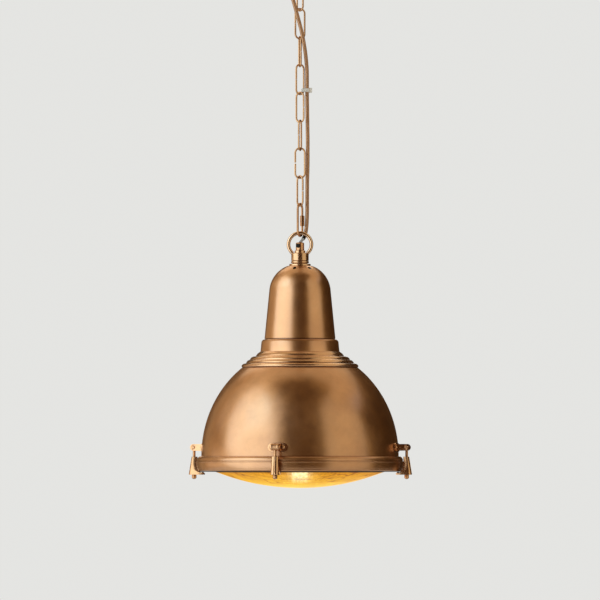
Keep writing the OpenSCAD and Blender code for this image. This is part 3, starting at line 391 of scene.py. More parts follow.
# the ring's brass: partly polished by wear, partly painted highlight, with base colours raised so its highlights come
# out brighter
POLISHED_LIT = aged_brass("polished_lit_brass", (0.94, 0.64, 0.40), (0.84, 0.52, 0.29), (0.64, 0.34, 0.16),
                      rough=(0.16, 0.20), patina=0.3, streaks=False, wear=0, coat=0.6, crevice_grime_and_shade=(0.002, 0.05))
HUB = aged_brass("hub_brass", (0.76, 0.44, 0.20), (0.68, 0.37, 0.15), (0.54, 0.26, 0.09),
                 rough=(0.20, 0.26), patina=0.5, streaks=False, wear=0.3, coat=0.9, crevice_grime_and_shade=(0.002, 0.25))
WORN = aged_brass("worn_brass", (0.70, 0.56, 0.36), (0.58, 0.43, 0.25), (0.40, 0.27, 0.14),
                  rough=(0.285, 0.38), patina=0.5, streaks=False)
# near black, used as painted shade on the grip screw's head and on the sheath behind the ring
SHADE_BLACK = plain("shade_black", (0.016, 0.012, 0.009), 0.4, 0.2, 0.25, 90, specular=0.08)
# near-black painted shade for the vents' bores
VENT_SHADE = plain("vent_shade", (0.012, 0.008, 0.005), 0.7, 0.2, 0.3, 90, specular=0.05)
# dark brown painted shadow for the bezel's bottom edge
LIP_SHADE = plain("lip_shade", (0.045, 0.020, 0.008), 0.5, 0.5, 0.3, 90, specular=0.2)
ZINC = plain("zinc_plate", (0.62, 0.62, 0.60), 0.32, 1.0, 0.1, 90)
CERAMIC = plain("glazed_ceramic", (0.86, 0.84, 0.78), 0.12, 0, 0.03, 60)
BLOCK = plain("block_plastic", (0.80, 0.77, 0.68), 0.45, 0, 0.04)
NYLON = plain("tie_nylon", (0.86, 0.77, 0.64), 0.38, 0, 0.06, 200)
SHEATH = plain("flex_sheath", (0.47, 0.235, 0.11), 0.34, 0.45, 0.14, 160, 0.0001, 0.2)
GREY_SHEATH = plain("inner_sheath", (0.40, 0.38, 0.34), 0.5, 0, 0.08)
CORES = plain("core_insulation", (0.24, 0.13, 0.06), 0.4, 0, 0.1)
RUBBER = plain("seal_rubber", (0.035, 0.033, 0.03), 0.65, 0, 0.2)
INNER = plain("inside_enamel", (0.80, 0.74, 0.62), 0.4, 0, 0.05)


def amber_glass():
    """Frosted amber glass with the bulb's light through it painted in as emission, brightest at the middle, with
    painted gleams near the rim and a painted shadow at its edge.
    """
    mat, tree, bsdf = new_material("amber_glass")
    coords = tree.nodes.new("ShaderNodeTexCoord").outputs["Object"]
    split = tree.nodes.new("ShaderNodeSeparateXYZ")
    tree.links.new(coords, split.inputs[0])
    squares = []
    for axis in ("X", "Y"):
        square = node(tree, "ShaderNodeMath", operation="POWER")
        square.inputs[1].default_value = 2
        absolute = node(tree, "ShaderNodeMath", operation="ABSOLUTE")
        tree.links.new(split.outputs[axis], absolute.inputs[0])
        tree.links.new(absolute.outputs[0], square.inputs[0])
        squares.append(square)
    total = node(tree, "ShaderNodeMath", operation="ADD")
    tree.links.new(squares[0].outputs[0], total.inputs[0])
    tree.links.new(squares[1].outputs[0], total.inputs[1])
    radius = node(tree, "ShaderNodeMath", operation="SQRT")
    tree.links.new(total.outputs[0], radius.inputs[0])
    reach = node(tree, "ShaderNodeMapRange")
    reach.inputs["From Max"].default_value = 0.125
    tree.links.new(radius.outputs[0], reach.inputs["Value"])
    cloudy = noise(tree, coords, 38, 5, 0.6)
    shift = node(tree, "ShaderNodeMath", operation="MULTIPLY_ADD")
    tree.links.new(cloudy.outputs["Fac"], shift.inputs[0])
    shift.inputs[1].default_value = 0.34
    shift.inputs[2].default_value = -0.17
    place = node(tree, "ShaderNodeMath", operation="ADD")
    tree.links.new(reach.outputs["Result"], place.inputs[0])
    tree.links.new(shift.outputs[0], place.inputs[1])
    glow = ramp(tree, place.outputs[0], [(0.0, (1.0, 0.80, 0.26)), (0.16, (0.98, 0.66, 0.085)),
                                        (0.45, (0.95, 0.57, 0.04)), (0.62, (0.88, 0.47, 0.025)),
                                        (0.85, (0.72, 0.33, 0.012)), (1.0, (0.64, 0.27, 0.008))])
    # painted highlight: four narrow gleams towards the rim, fixed in the glass, stand in for the bulb seen through it
    sides = node(tree, "ShaderNodeMath", operation="MULTIPLY")
    tree.links.new(split.outputs["X"], sides.inputs[0])
    tree.links.new(split.outputs["Y"], sides.inputs[1])
    off_axis = node(tree, "ShaderNodeMath", operation="DIVIDE")
    tree.links.new(sides.outputs[0], off_axis.inputs[0])
    tree.links.new(radius.outputs[0], off_axis.inputs[1])
    width = node(tree, "ShaderNodeMath", operation="ABSOLUTE")
    tree.links.new(off_axis.outputs[0], width.inputs[0])
    narrow = node(tree, "ShaderNodeMapRange")
    narrow.inputs["From Max"].default_value = 0.03
    tree.links.new(width.outputs[0], narrow.inputs["Value"])
    ray = ramp(tree, narrow.outputs["Result"], [(0.0, (1, 1, 1)), (0.30, (0.95, 0.95, 0.95)), (0.42, (0.32, 0.32, 0.32)), (0.66, (0.07, 0.07, 0.07)), (1.0, (0, 0, 0))])
    outer = ramp(tree, reach.outputs["Result"], [(0.50, (0, 0, 0)), (0.72, (0.5, 0.5, 0.5)), (0.9, (1, 1, 1))])
    gleam = mix_colour(tree, 1.0, ray.outputs["Color"], outer.outputs["Color"], "MULTIPLY")
    streaks = noise(tree, coords, 30, 7, 0.7, (1, 5, 1))
    veins = ramp(tree, streaks.outputs["Fac"], [(0.34, (0.66, 0.56, 0.40)), (0.60, (1.06, 1.05, 1.0))])
    shade = mix_colour(tree, 0.8, glow.outputs["Color"], veins.outputs["Color"], "MULTIPLY")
    wander = noise(tree, coords, 10, 3, 0.5, (1, 2.2, 1))
    hairs = ramp(tree, wander.outputs["Fac"], [(0.486, (1, 1, 1)), (0.498, (0.60, 0.44, 0.24)),
                                              (0.502, (0.60, 0.44, 0.24)), (0.514, (1, 1, 1))])
    shade = mix_colour(tree, 1.0, shade, hairs.outputs["Color"], "MULTIPLY")
    bright = mix_colour(tree, 1.0, gleam, (0.50, 0.66, 0.46), "MULTIPLY")
    shade = mix_colour(tree, 1.0, shade, bright, "ADD")
    flat = node(tree, "ShaderNodeCombineXYZ")
    tree.links.new(split.outputs["X"], flat.inputs[0])
    tree.links.new(split.outputs["Y"], flat.inputs[1])
    bearing = node(tree, "ShaderNodeVectorMath", operation="NORMALIZE")
    tree.links.new(flat.outputs[0], bearing.inputs[0])
    spokes = node(tree, "ShaderNodeVectorMath", operation="SCALE")
    tree.links.new(bearing.outputs[0], spokes.inputs[0])
    spokes.inputs["Scale"].default_value = 0.11
    climb = node(tree, "ShaderNodeMath", operation="MULTIPLY")
    tree.links.new(radius.outputs[0], climb.inputs[0])
    climb.inputs[1].default_value = 0.3
    rise = node(tree, "ShaderNodeCombineXYZ")
    tree.links.new(climb.outputs[0], rise.inputs[2])
    ribbed = node(tree, "ShaderNodeVectorMath", operation="ADD")
    tree.links.new(spokes.outputs[0], ribbed.inputs[0])
    tree.links.new(rise.outputs[0], ribbed.inputs[1])
    peel = noise(tree, ribbed.outputs[0], 380, 2, 0.5)
    grains = ramp(tree, peel.outputs["Fac"], [(0.32, (0.86, 0.82, 0.66)), (0.52, (1, 1, 1)), (0.70, (1.16, 1.2, 1.4))])
    coarse = ramp(tree, reach.outputs["Result"], [(0.30, (0.2, 0.2, 0.2)), (0.60, (1, 1, 1))])
    grained = mix_colour(tree, 1.0, shade, grains.outputs["Color"], "MULTIPLY")
    shade = mix_colour(tree, coarse.outputs["Color"], shade, grained)
    # painted shadow: the glow darkens to near black at the lens's outer edge, under the bezel
    lip = ramp(tree, reach.outputs["Result"], [(0.950, (1, 1, 1)), (0.972, (0.10, 0.06, 0.03))])
    shade = mix_colour(tree, 1.0, shade, lip.outputs["Color"], "MULTIPLY")
    tree.links.new(shade, bsdf.inputs["Emission Color"])
    pale = mix_colour(tree, 0.75, shade, (0.04, 0.015, 0.001))
    tree.links.new(pale, bsdf.inputs["Base Color"])
    bsdf.inputs["Emission Strength"].default_value = 1.0
    bsdf.inputs["Roughness"].default_value = 0.3
    bsdf.inputs["Specular IOR Level"].default_value = 0.02
    bsdf.inputs["IOR"].default_value = 1.5
    ripple = noise(tree, coords, 90, 4, 0.55)
    bump = node(tree, "ShaderNodeBump", Strength=0.25, Distance=0.0008)
    tree.links.new(ripple.outputs["Fac"], bump.inputs["Height"])
    tree.links.new(bump.outputs["Normal"], bsdf.inputs["Normal"])
    return mat


def clear_glass():
    mat, tree, bsdf = new_material("bulb_glass")
    coords = tree.nodes.new("ShaderNodeTexCoord").outputs["Object"]
    wave = noise(tree, coords, 40, 2, 0.5)
    tone = ramp(tree, wave.outputs["Fac"], [(0.3, (1.0, 0.90, 0.70)), (0.7, (1.0, 0.95, 0.82))])
    tree.links.new(tone.outputs["Color"], bsdf.inputs["Base Color"])
    bsdf.inputs["Transmission Weight"].default_value = 1
    bsdf.inputs["Roughness"].default_value = 0.03
    bsdf.inputs["IOR"].default_value = 1.45
    return mat


def filament():
    mat, tree, bsdf = new_material("filament")
    coords = tree.nodes.new("ShaderNodeTexCoord").outputs["Object"]
    wave = noise(tree, coords, 300, 2, 0.5)
    tone = ramp(tree, wave.outputs["Fac"], [(0.3, (1.0, 0.62, 0.20)), (0.7, (1.0, 0.80, 0.42))])
    tree.links.new(tone.outputs["Color"], bsdf.inputs["Base Color"])
    tree.links.new(tone.outputs["Color"], bsdf.inputs["Emission Color"])
    bsdf.inputs["Emission Strength"].default_value = 3
    bsdf.inputs["Roughness"].default_value = 0.4
    return mat


AMBER = amber_glass()
CLEAR = clear_glass()
FILAMENT = filament()

NODE_MATERIALS = {
    "ceiling_strap": ZINC, "ceiling_rose": SPUN, "rose_loop": CAST, "terminal_block": BLOCK,
    "terminal_screws": ZINC, "earth_screw": WORN, "rose_cord_grip": CAST, "rose_wires": CORES,
    "quick_link_nut": CAST, "cable_tie": NYLON, "hub": HUB, "cord_grip": CAST, "grip_screw": SHADE_BLACK,
    "threaded_rod": WORN, "rod_nuts": ZINC, "cap": SHELL, "gallery_collar": SPUN, "joint_screws": ZINC,
    "dome_shade": SPUN, "lampholder_body": CERAMIC, "lampholder_shell": WORN, "lampholder_contact": WORN,
    "lamp_wires": CORES, "bulb_cap": ZINC, "bulb_glass": CLEAR, "bulb_filaments": FILAMENT,
    "bezel": SPUN, "lens": AMBER, "lens_gasket": RUBBER, "rim_gasket": RUBBER, "lens_snap_ring": ZINC,
    "clamp_brackets": CAST, "bracket_rivets": CAST, "clamp_pins": CAST}
for index in range(1, 5):
    NODE_MATERIALS["swing_bolt_%d" % index] = NODE_MATERIALS["clamp_nut_%d" % index] = CAST
    NODE_MATERIALS["claw_%d" % index] = CLAW
for name, material in NODE_MATERIALS.items():
    set_material(NODES[name], material)

# ------------------------------------------------------------------ flex
upper_path = spline(FLEX_UPPER)
lower_path = spline(FLEX_LOWER)
flex_upper = tube("flex_upper_sheath", upper_path, FLEX_D, 20, directions={0: (0, 0, -1), len(upper_path) - 1: (0, 0, -1)})
set_material(flex_upper, SHEATH)
lower_cut = len(lower_path) - 5
BARED_D = 3.9
flex_lower = tube("flex_lower_sheath", lower_path, FLEX_D, 20, directions={0: (0, 0, -1)},
                  taper={i: BARED_D for i in range(lower_cut + 1, len(lower_path))})
set_material(flex_lower, SHEATH)
flex_lower.data.materials.append(GREY_SHEATH)
# painted shade: the stretch of sheath just above the bared end, where it runs behind the ring, is coloured near black
flex_lower.data.materials.append(SHADE_BLACK)
bared = lower_cut * 20
shaded_from = (lower_cut - 3) * 20
for polygon in flex_lower.data.polygons:
    if min(polygon.vertices) >= bared:
        polygon.material_index = 1
    elif min(polygon.vertices) >= shaded_from:
        polygon.material_index = 2


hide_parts("flex_upper")
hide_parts("flex_lower")
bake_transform(flex_upper)
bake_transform(flex_lower)


# ------------------------------------------------------------------ chain, quick link and ring
def link_points(length, width, wire, side, open_from, open_to, turn, top_z):
    """Centre line of a long link that starts and ends at its split, in mm."""
    r = (width - wire) / 2
    leg_end = length - wire - r
    line = [(side * r, -open_from)]
    n = 4
    line += [(side * r, -open_from + (open_from - r) * k / n) for k in range(1, n)]
    line += [(side * r * math.cos(math.radians(a)), -r + r * math.sin(math.radians(a))) for a in range(0, 181, 6)]
    line += [(-side * r, -r - (leg_end - r) * k / 6) for k in range(1, 6)]
    line += [(-side * r * math.cos(math.radians(a)), -leg_end - r * math.sin(math.radians(a))) for a in range(0, 181, 6)]
    line += [(side * r, -leg_end + (leg_end - open_to) * k / n) for k in range(1, n + 1)]
    c, s = math.cos(math.radians(turn)), math.sin(math.radians(turn))
    return [(x * c, x * s, top_z + z) for x, z in line]


def rounded_tube(name, points, diameter, sides=20):
    """Tube whose ends are slightly rounded over, as cut wire is."""
    obj = tube(name, points, diameter, sides)
    bm = bmesh.new()
    bm.from_mesh(obj.data)
    ends = [f for f in bm.faces if len(f.verts) > 4]
    bmesh.ops.bevel(bm, geom=[e for f in ends for e in f.edges], offset=diameter * MM * 0.14, segments=3,
                    affect="EDGES", profile=0.5, clamp_overlap=True)
    bm.to_mesh(obj.data)
    bm.free()
    for polygon in obj.data.polygons:
        polygon.use_smooth = len(polygon.vertices) < 5
    return obj


for index, turn in enumerate(LINK_YAW):
    split_from = (LINK[0] - LINK[2] - SPLIT_GAP[index]) / 2
    points = link_points(*LINK, SPLIT_SIDE[index], split_from, split_from + SPLIT_GAP[index], turn,
                         FIRST_LINK_Z - index * LINK_PITCH)
    link = rounded_tube("link_wire_%d" % (index + 1), points, LINK[2])
    set_material(link, WIRE)
    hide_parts("chain_link_%d" % (index + 1))
    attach(link, "chain")

sleeve_from = (QUICK[1] - QUICK[2]) / 2 + 8.6
mouth = sleeve_from + 15 - 6 - 1
quick = rounded_tube("quick_link_wire", link_points(*QUICK, 1, mouth, mouth + 6, QUICK_YAW, QUICK_TOP_Z), QUICK[2])
set_material(quick, CAST)
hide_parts("quick_link")
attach(quick, "chain")

RING_R = 16.6
ring_start = math.asin((HUB_Z - 0.6 - RING_Z) / RING_R)
ring_points = []
for k in range(97):
    a = ring_start + (math.pi - 2 * ring_start) * k / 96
    ring_points.append((RING_R * math.cos(a), 0, RING_Z + RING_R * math.sin(a)))
ring = tube("ring_wire", ring_points, 5.2, 28)
set_material(ring, POLISHED_LIT)
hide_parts("suspension_ring")
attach(ring, "lamp")

# ------------------------------------------------------------------ spun shells as true curves
def turned(name, node_name, profile, material, body="lamp", angle=26):
    """Solid of revolution that replaces a CAD node."""
    obj = lathe(name, profile)
    bm = bmesh.new()
    bm.from_mesh(obj.data)
    bmesh.ops.recalc_face_normals(bm, faces=bm.faces)
    bm.to_mesh(obj.data)
    bm.free()
    auto_smooth(obj, angle)
    set_material(obj, material)
    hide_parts(node_name)
    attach(obj, body)
    return obj


def ellipse_points(centre, a, b, start, end, n):
    return [(centre[0] + a * math.cos(math.radians(start + (end - start) * i / n)),
             centre[1] + b * math.sin(math.radians(start + (end - start) * i / n))) for i in range(n + 1)]


def crown(wall):
    """Outline of the cap's round top, down to where it meets the flared side."""
    centre = (CAP_SHOULDER_R - CROWN_R, CAP_Z - CROWN_R + CROWN_FLAT)
    top = math.degrees(math.asin((CROWN_R - CROWN_FLAT - wall) / (CROWN_R - wall)))
    return ellipse_points(centre, CROWN_R - wall, CROWN_R - wall, top, SIDE_LEAN, 40)


CAP_SHOULDER_R, CAP_RIM_R, CAP_WALL = 44.5, 51.3, 1.2
CROWN_R, CROWN_FLAT, SIDE_LEAN = 41, 2.7, 5.7
NIPPLE_R, FLANGE_R = 5.05, 41.5
VENTS, VENT_D, VENT_R, VENT_TURN = 7, 5.2, 25, -5
cap = turned("cap_shell", "cap",
             [(NIPPLE_R, CAP_Z)] + crown(0) + [(CAP_RIM_R, COLLAR_Z + 0.4), (CAP_RIM_R - 0.4, COLLAR_Z),
                                             (FLANGE_R, COLLAR_Z), (FLANGE_R, COLLAR_Z + CAP_WALL),
                                             (CAP_RIM_R - 1.1 * CAP_WALL, COLLAR_Z + CAP_WALL)]
             + crown(CAP_WALL)[::-1] + [(NIPPLE_R, CAP_Z - CAP_WALL)], SHELL)
cutters = []
for index in range(VENTS):
    a = math.radians(VENT_TURN + (index + 1) * 360 / VENTS)
    cutter = tube("vent_cutter_%d" % index, [(VENT_R * math.cos(a), VENT_R * math.sin(a), CAP_Z + z) for z in (-14, 3)],
                  VENT_D, 32)
    cutters.append(cutter)
    cut = cap.modifiers.new("vent", "BOOLEAN")
    cut.operation = "DIFFERENCE"
    cut.solver = "EXACT"
    cut.object = cutter
    bpy.context.view_layer.objects.active = cap
    bpy.ops.object.modifier_move_to_index(modifier=cut.name, index=0)
    bpy.ops.object.modifier_apply(modifier=cut.name)
for cutter in cutters:
    bpy.data.objects.remove(cutter)
# painted shade: the vents' bores are coloured near black, as deep holes look
cap.data.materials.append(VENT_SHADE)
for polygon in cap.data.polygons:
    reach = math.hypot(polygon.center.x, polygon.center.y) / MM
    if abs(reach - VENT_R) < VENT_D * 0.6 and abs(polygon.normal.z) < 0.3 and polygon.center.z > (CAP_Z - 14) * MM:
        polygon.material_index = 1

GRIP_SCREW_Z, GRIP_SCREW_YAW, GRIP_SCREW_SEAT = -460.04, -28, 3.8
screw = lathe("grip_screw_head", [(0, GRIP_SCREW_SEAT), (2.7, GRIP_SCREW_SEAT), (2.7, 5.6), (3.1, 5.6), (3.1, 7.1),
                                  (2.8, 7.4), (0, 7.4)], steps=48)
slot = mesh_object("slot_cutter", [(x, y, z) for x in (-4, 4) for y in (-0.4, 0.4) for z in (6.5, 8)],
                   [(0, 1, 3, 2), (4, 6, 7, 5), (0, 4, 5, 1), (2, 3, 7, 6), (0, 2, 6, 4), (1, 5, 7, 3)], smooth=False)
cut = screw.modifiers.new("slot", "BOOLEAN")
cut.operation, cut.object = "DIFFERENCE", slot
bpy.context.view_layer.objects.active = screw
bpy.ops.object.modifier_apply(modifier=cut.name)
bpy.data.objects.remove(slot)
screw.data.transform(Matrix.Translation((0, 0, GRIP_SCREW_Z * MM)) @ Matrix.Rotation(math.radians(GRIP_SCREW_YAW), 4, "Z")
                     @ Matrix.Rotation(math.radians(90), 4, "X"))
auto_smooth(screw, 30)
# painted shade: the screw head is coloured near black so that it reads as a shadowed hole
set_material(screw, SHADE_BLACK)
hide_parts("grip_screw")
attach(screw, "lamp")

COLLAR_TOP_R, COLLAR_FOOT_R, SHELL_WALL = 55.8, 57.2, 1.2
turned("collar_band", "gallery_collar",
       [(FLANGE_R, COLLAR_Z), (CAP_RIM_R - 1, COLLAR_Z), (CAP_RIM_R - 0.6, COLLAR_Z - 1)]
       + arc_points((CAP_RIM_R - 0.6, COLLAR_Z - 1), (COLLAR_TOP_R, COLLAR_Z - 4.8), 1.1, 10)
       + [(COLLAR_FOOT_R, SHELF_Z), (44, SHELF_Z), (44, SHELF_Z + SHELL_WALL),
          (COLLAR_FOOT_R - SHELL_WALL, SHELF_Z + SHELL_WALL), (COLLAR_TOP_R - SHELL_WALL, COLLAR_Z - 4.8),
          (CAP_RIM_R - 2.4, COLLAR_Z - SHELL_WALL), (FLANGE_R, COLLAR_Z - SHELL_WALL)], SPUN)

DOME_R, DOME_CURVE_H, DOME_START, DOME_WALL = 142.8, 157.8, 83.3, 1.4
start = math.degrees(math.acos(DOME_START / DOME_R))
steps = [(57.8, 0), (58.4, -0.6)] + arc_points((58.4, -0.6), (63.8, -6.2), 0.6, 8) + [(64.4, -6.7), (66, -6.9)]
steps += arc_points((66, -6.9), (72.4, -11.2), 1.1, 8) + [(72.5, -11.7), (73, -11.8)]
steps += arc_points((73, -11.8), (78, -16.2), 0.8, 8) + [(77.7, -16.9), (79.8, -17.2)]
steps += arc_points((79.8, -17.2), (84.7, -21), 1.0, 8) + [(84.2, -22.3)]
dome = turned("dome_shell", "dome_shade",
       [(44, SHELF_Z)] + [(r, SHELF_Z + z) for r, z in steps]
       + ellipse_points((0, DOME_Z), DOME_R, DOME_CURVE_H, start, 0, 110)
       + [(DOME_R, RIM_Z), (DOME_R - DOME_WALL, RIM_Z)]
       + ellipse_points((0, DOME_Z), DOME_R - DOME_WALL, DOME_CURVE_H - DOME_WALL, 0, start, 60)
       + [(r - 1.26, SHELF_Z + z - 1.12) for r, z in steps[::-1] if r > 58]
       + [(56.4, SHELF_Z - DOME_WALL), (44, SHELF_Z - DOME_WALL)], SPUN, angle=20)
# painted highlight: the crown's upward faces take the lighter ridge brass
dome.data.materials.append(LIT_RIDGES)
for polygon in dome.data.polygons:
    if polygon.center.z > (SHELF_Z - 22.2) * MM and polygon.normal.z > -0.1:
        polygon.material_index = 1

BEZEL_R, BEZEL_BORE_R, LENS_SHOW_R, LENS_SAG, LENS_T, LIP_T = 150.4, 144.6, 122.5, 23.5, 4.5, 2.2
LENS_SPHERE_R = (LENS_SHOW_R ** 2 + LENS_SAG ** 2) / (2 * LENS_SAG)
LENS_CENTRE_H = LENS_SPHERE_R - LENS_SAG


def lens_radius(sphere, h):
    return math.sqrt(sphere ** 2 - (LENS_CENTRE_H - h) ** 2)


b, h = BEZEL_R, BEZEL_H
bezel_outline = [(DOME_R + 0.6, h), (b - 5.2, h)] + arc_points((b - 5.2, h), (b - 1.2, h * 0.73), 1, 10)
bezel_outline += [(b - 1.8, h * 0.72), (b - 1.8, h * 0.69)]
bezel_outline += arc_points((b - 1.8, h * 0.69), (b - 0.7, h * 0.6), 0.7, 8)
bezel_outline += arc_points((b - 0.7, h * 0.6), (b - 1.8, 4), 0.35, 12) + [(b - 2.5, 3.7), (b - 2.6, 3)]
bezel_outline += arc_points((b - 2.6, 3), (b - 6.4, 0), 0.9, 8)
bezel_outline += [(LENS_SHOW_R + 0.3, 0), (lens_radius(LENS_SPHERE_R, LIP_T) + 0.3, LIP_T), (BEZEL_BORE_R, LIP_T),
                  (BEZEL_BORE_R, h - 2.6), (DOME_R + 0.6, h - 1.6)]
bezel_ring = turned("bezel_ring", "bezel", [(r, BEZEL_Z + z) for r, z in bezel_outline], SPUN, angle=22)
# painted shadow: the lowest band of the bezel's outer fillet is coloured dark brown
bezel_ring.data.materials.append(LIP_SHADE)
for polygon in bezel_ring.data.polygons:
    if polygon.center.z < (BEZEL_Z + 1.1) * MM and math.hypot(*polygon.center.xy) > (BEZEL_R - 6.4) * MM:
        polygon.material_index = 1

LENS_EDGE_R = BEZEL_BORE_R - 0.4
flange_h, top_h = LIP_T + 1, LIP_T + 1 + 4.8
out_angle = math.asin(lens_radius(LENS_SPHERE_R, flange_h) / LENS_SPHERE_R)
in_r = LENS_SPHERE_R - LENS_T
in_angle = math.asin(lens_radius(in_r, top_h) / in_r)
lens_outline = [(LENS_SPHERE_R * math.sin(out_angle * i / 60), LENS_CENTRE_H - LENS_SPHERE_R * math.cos(out_angle * i / 60))
                for i in range(61)]
lens_outline += [(LENS_EDGE_R, flange_h), (LENS_EDGE_R, top_h)]
lens_outline += [(in_r * math.sin(in_angle * i / 40), LENS_CENTRE_H - in_r * math.cos(in_angle * i / 40))
                 for i in range(40, -1, -1)]
turned("lens_glass", "lens", [(r, BEZEL_Z + z) for r, z in lens_outline], AMBER)


# ------------------------------------------------------------------ castings with eased edges
def eased(node_name, body, edge=0.35, limit=38):
    """Copy of a CAD piece with welded seams and bevelled edges, which replaces it."""
    bm = bmesh.new()
    bm.from_mesh(NODES[node_name].data)
    bmesh.ops.remove_doubles(bm, verts=bm.verts, dist=2e-6)
    bmesh.ops.dissolve_limit(bm, angle_limit=math.radians(0.6), verts=bm.verts, edges=bm.edges)
    bmesh.ops.recalc_face_normals(bm, faces=bm.faces)
    mesh = bpy.data.meshes.new(node_name + "_eased")
    bm.to_mesh(mesh)
    bm.free()
    obj = link_object(node_name + "_eased", mesh)
    bevel = obj.modifiers.new("eased", "BEVEL")
    bevel.limit_method = "ANGLE"
    bevel.angle_limit = math.radians(limit)
    bevel.width = edge * MM
    bevel.segments = 2
    bpy.context.view_layer.objects.active = obj
    bpy.ops.object.modifier_apply(modifier=bevel.name)
    auto_smooth(obj, 34)
    set_material(obj, NODE_MATERIALS[node_name])
    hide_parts(node_name)
    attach(obj, body)
    return obj


for node_name in ("hub", "cord_grip", "clamp_brackets"):
    eased(node_name, "lamp", 0.3)
for node_name in ("ceiling_rose", "rose_loop"):
    eased(node_name, "ceiling", 0.3)
eased("quick_link_nut", "link_nut", 0.3)
for index in range(1, 5):
    eased("claw_%d" % index, "claw_%d" % index, 0.4)
    eased("clamp_nut_%d" % index, "clamp_nut_%d" % index, 0.25)

for name, obj in NODES.items():
    if obj.visible_get() or name.startswith(("bracket", "clamp_pins", "swing")):
        auto_smooth(obj)

# ------------------------------------------------------------------ stage and light
def stage_plane(name, size, place, turn, colour, camera_only=False):
    bpy.ops.mesh.primitive_plane_add(size=1, location=place, rotation=turn)
    obj = bpy.context.object
    obj.name = name
    obj.scale = (size[0], size[1], 1)
    mat, tree, bsdf = new_material(name)
    bsdf.inputs["Base Color"].default_value = (*colour, 1)
    bsdf.inputs["Roughness"].default_value = 0.9
    bsdf.inputs["Specular IOR Level"].default_value = 0.1
    obj.data.materials.append(mat)
    return obj


floor = stage_plane("floor", (5, 5), (0, 0.4, -1.45), (0, 0, 0), (0.80, 0.79, 0.76))
tree = floor.data.materials[0].node_tree
side = tree.nodes.new("ShaderNodeNewGeometry")
out = node(tree, "ShaderNodeVectorMath", operation="LENGTH")
tree.links.new(tree.nodes.new("ShaderNodeTexCoord").outputs["Object"], out.inputs[0])
fade = node(tree, "ShaderNodeMapRange")
fade.interpolation_type = "SMOOTHSTEP"
fade.inputs["From Min"].default_value, fade.inputs["From Max"].default_value = 0.22, 0.49
tree.links.new(out.outputs["Value"], fade.inputs["Value"])
unseen = node(tree, "ShaderNodeMath", operation="MAXIMUM")
tree.links.new(side.outputs["Backfacing"], unseen.inputs[0])
tree.links.new(fade.outputs["Result"], unseen.inputs[1])
clear = tree.nodes.new("ShaderNodeBsdfTransparent")
either = tree.nodes.new("ShaderNodeMixShader")
tree.links.new(unseen.outputs[0], either.inputs[0])
tree.links.new(tree.nodes["Principled BSDF"].outputs[0], either.inputs[1])
tree.links.new(clear.outputs[0], either.inputs[2])
tree.links.new(either.outputs[0], tree.nodes["Material Output"].inputs["Surface"])


def flag(name, size, place, level, tint, flat=False):
    """Cloth that only reflections see; its level and tint say how much of a warm room it gives back."""
    obj = stage_plane(name, size, place, (0, 0, 0), (0.004, 0.004, 0.004))
    glow = obj.data.materials[0].node_tree.nodes["Principled BSDF"]
    glow.inputs["Emission Color"].default_value = (*tint, 1)
    glow.inputs["Emission Strength"].default_value = level
    if not flat:
        obj.rotation_euler = (Vector((0, 0, place[2])) - Vector(place)).to_track_quat("-Z", "Y").to_euler()
    obj.visible_camera = False
    obj.visible_shadow = False
    obj.visible_diffuse = False
    obj.visible_transmission = False


LAMP_MIDDLE = (0, 0, -0.62)
flag("front_flag", (4.85, 9.3), (0.18, -4.6, 1.25), 0.07, (1, 0.46, 0.15))
flag("canopy", (3.65, 3.7), (0.22, -2.15, 3.0), 0.08, (1, 0.50, 0.18), flat=True)
flag("ceiling", (9, 7), (0, 1.5, 3.4), 0.74, (1, 0.84, 0.56), flat=True)
flag("right_flag", (7.9, 6.2), (3.05, 2.52, -0.6), 0.045, (1, 0.45, 0.12))
flag("left_flag", (6.4, 6), (-2.7, 2.9, 1.2), 0.42, (1, 0.68, 0.34))
flag("left_reflector", (1.5, 2.8), (-3.34, 1.35, 1.55), 0.66, (1, 0.82, 0.56))
flag("low_reflector", (2.3, 0.8), (-3.4, 0.9, -1.0), 0.95, (1, 0.84, 0.60))
flag("back_flag", (1.7, 6), (-0.98, 3.2, 0.4), 0.10, (1, 0.55, 0.25))
flag("right_wall", (6.2, 11), (4.6, -3.0, 0.6), 0.80, (1, 0.93, 0.70))


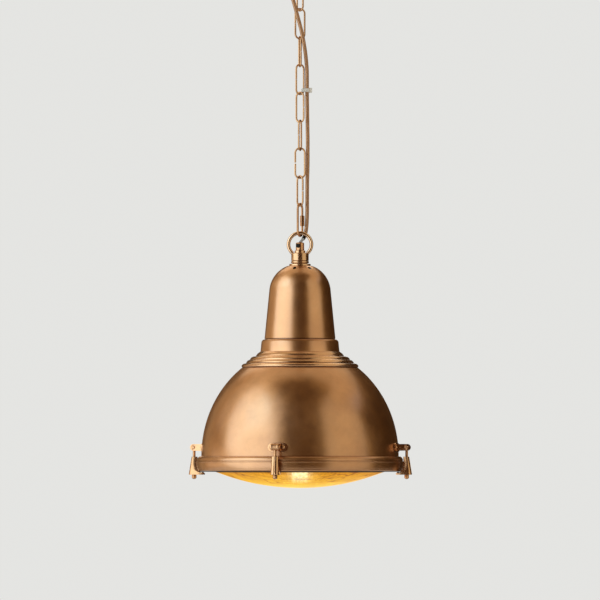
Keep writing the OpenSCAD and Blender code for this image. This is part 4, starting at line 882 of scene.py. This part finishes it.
def area(name, place, target, size, power, colour=(1, 1, 1), shape="RECTANGLE", mirrored=True, roll=0):
    """Soft light; one that isn't mirrored lights the object without showing in its metal."""
    data = bpy.data.lights.new(name, "AREA")
    data.shape = shape
    data.size, data.size_y = size
    data.energy = power
    data.color = colour
    obj = bpy.data.objects.new(name, data)
    bpy.context.scene.collection.objects.link(obj)
    obj.location = place
    turn = (Vector(target) - Vector(place)).to_track_quat("-Z", "Y")
    obj.rotation_euler = (turn @ Quaternion((0, 0, 1), math.radians(roll))).to_euler()
    obj.visible_glossy = mirrored
    return obj


area("left_softbox", (-2.29, -1.22, -0.15), LAMP_MIDDLE, (3.1, 6.2), 60, (0.72, 0.90, 1.0), "ELLIPSE", roll=30)
area("left_high_softbox", (-1.77, -0.94, 0.75), LAMP_MIDDLE, (1.3, 1.5), 4.5, (0.25, 0.66, 1.0), "ELLIPSE")
area("right_softbox", (2.13, -1.66, 0.2), LAMP_MIDDLE, (2.0, 2.4), 12, (1, 0.95, 0.88), mirrored=False)
area("top_softbox", (0, 0.3, 1.6), LAMP_MIDDLE, (1.6, 1.6), 8, (1, 0.98, 0.95), mirrored=False)
area("back_softbox", (-0.4, 2.2, 1.5), LAMP_MIDDLE, (2.4, 1.4), 11, (1, 0.86, 0.62))

bulb_light = bpy.data.lights.new("bulb_light", "POINT")
bulb_light.energy = 0.15
bulb_light.color = (1, 0.72, 0.36)
bulb_light.shadow_soft_size = 0.02
bulb_lamp = bpy.data.objects.new("bulb_light", bulb_light)
bulb_lamp.location = (0, 0, -0.68)
bpy.context.scene.collection.objects.link(bulb_lamp)

world = bpy.data.worlds.new("studio")
bpy.context.scene.world = world
world.use_nodes = True
tree = world.node_tree
background = tree.nodes["Background"]
rays = tree.nodes.new("ShaderNodeLightPath")
seen = node(tree, "ShaderNodeMath", operation="MAXIMUM")
tree.links.new(rays.outputs["Is Camera Ray"], seen.inputs[0])
tree.links.new(rays.outputs["Is Transmission Ray"], seen.inputs[1])
seen_too = node(tree, "ShaderNodeMath", operation="MAXIMUM")
tree.links.new(seen.outputs[0], seen_too.inputs[0])
tree.links.new(rays.outputs["Is Glossy Ray"], seen_too.inputs[1])
sky = mix_colour(tree, seen_too.outputs[0], (0.35, 0.35, 0.35), (0.78, 0.78, 0.76))
tree.links.new(sky, background.inputs["Color"])
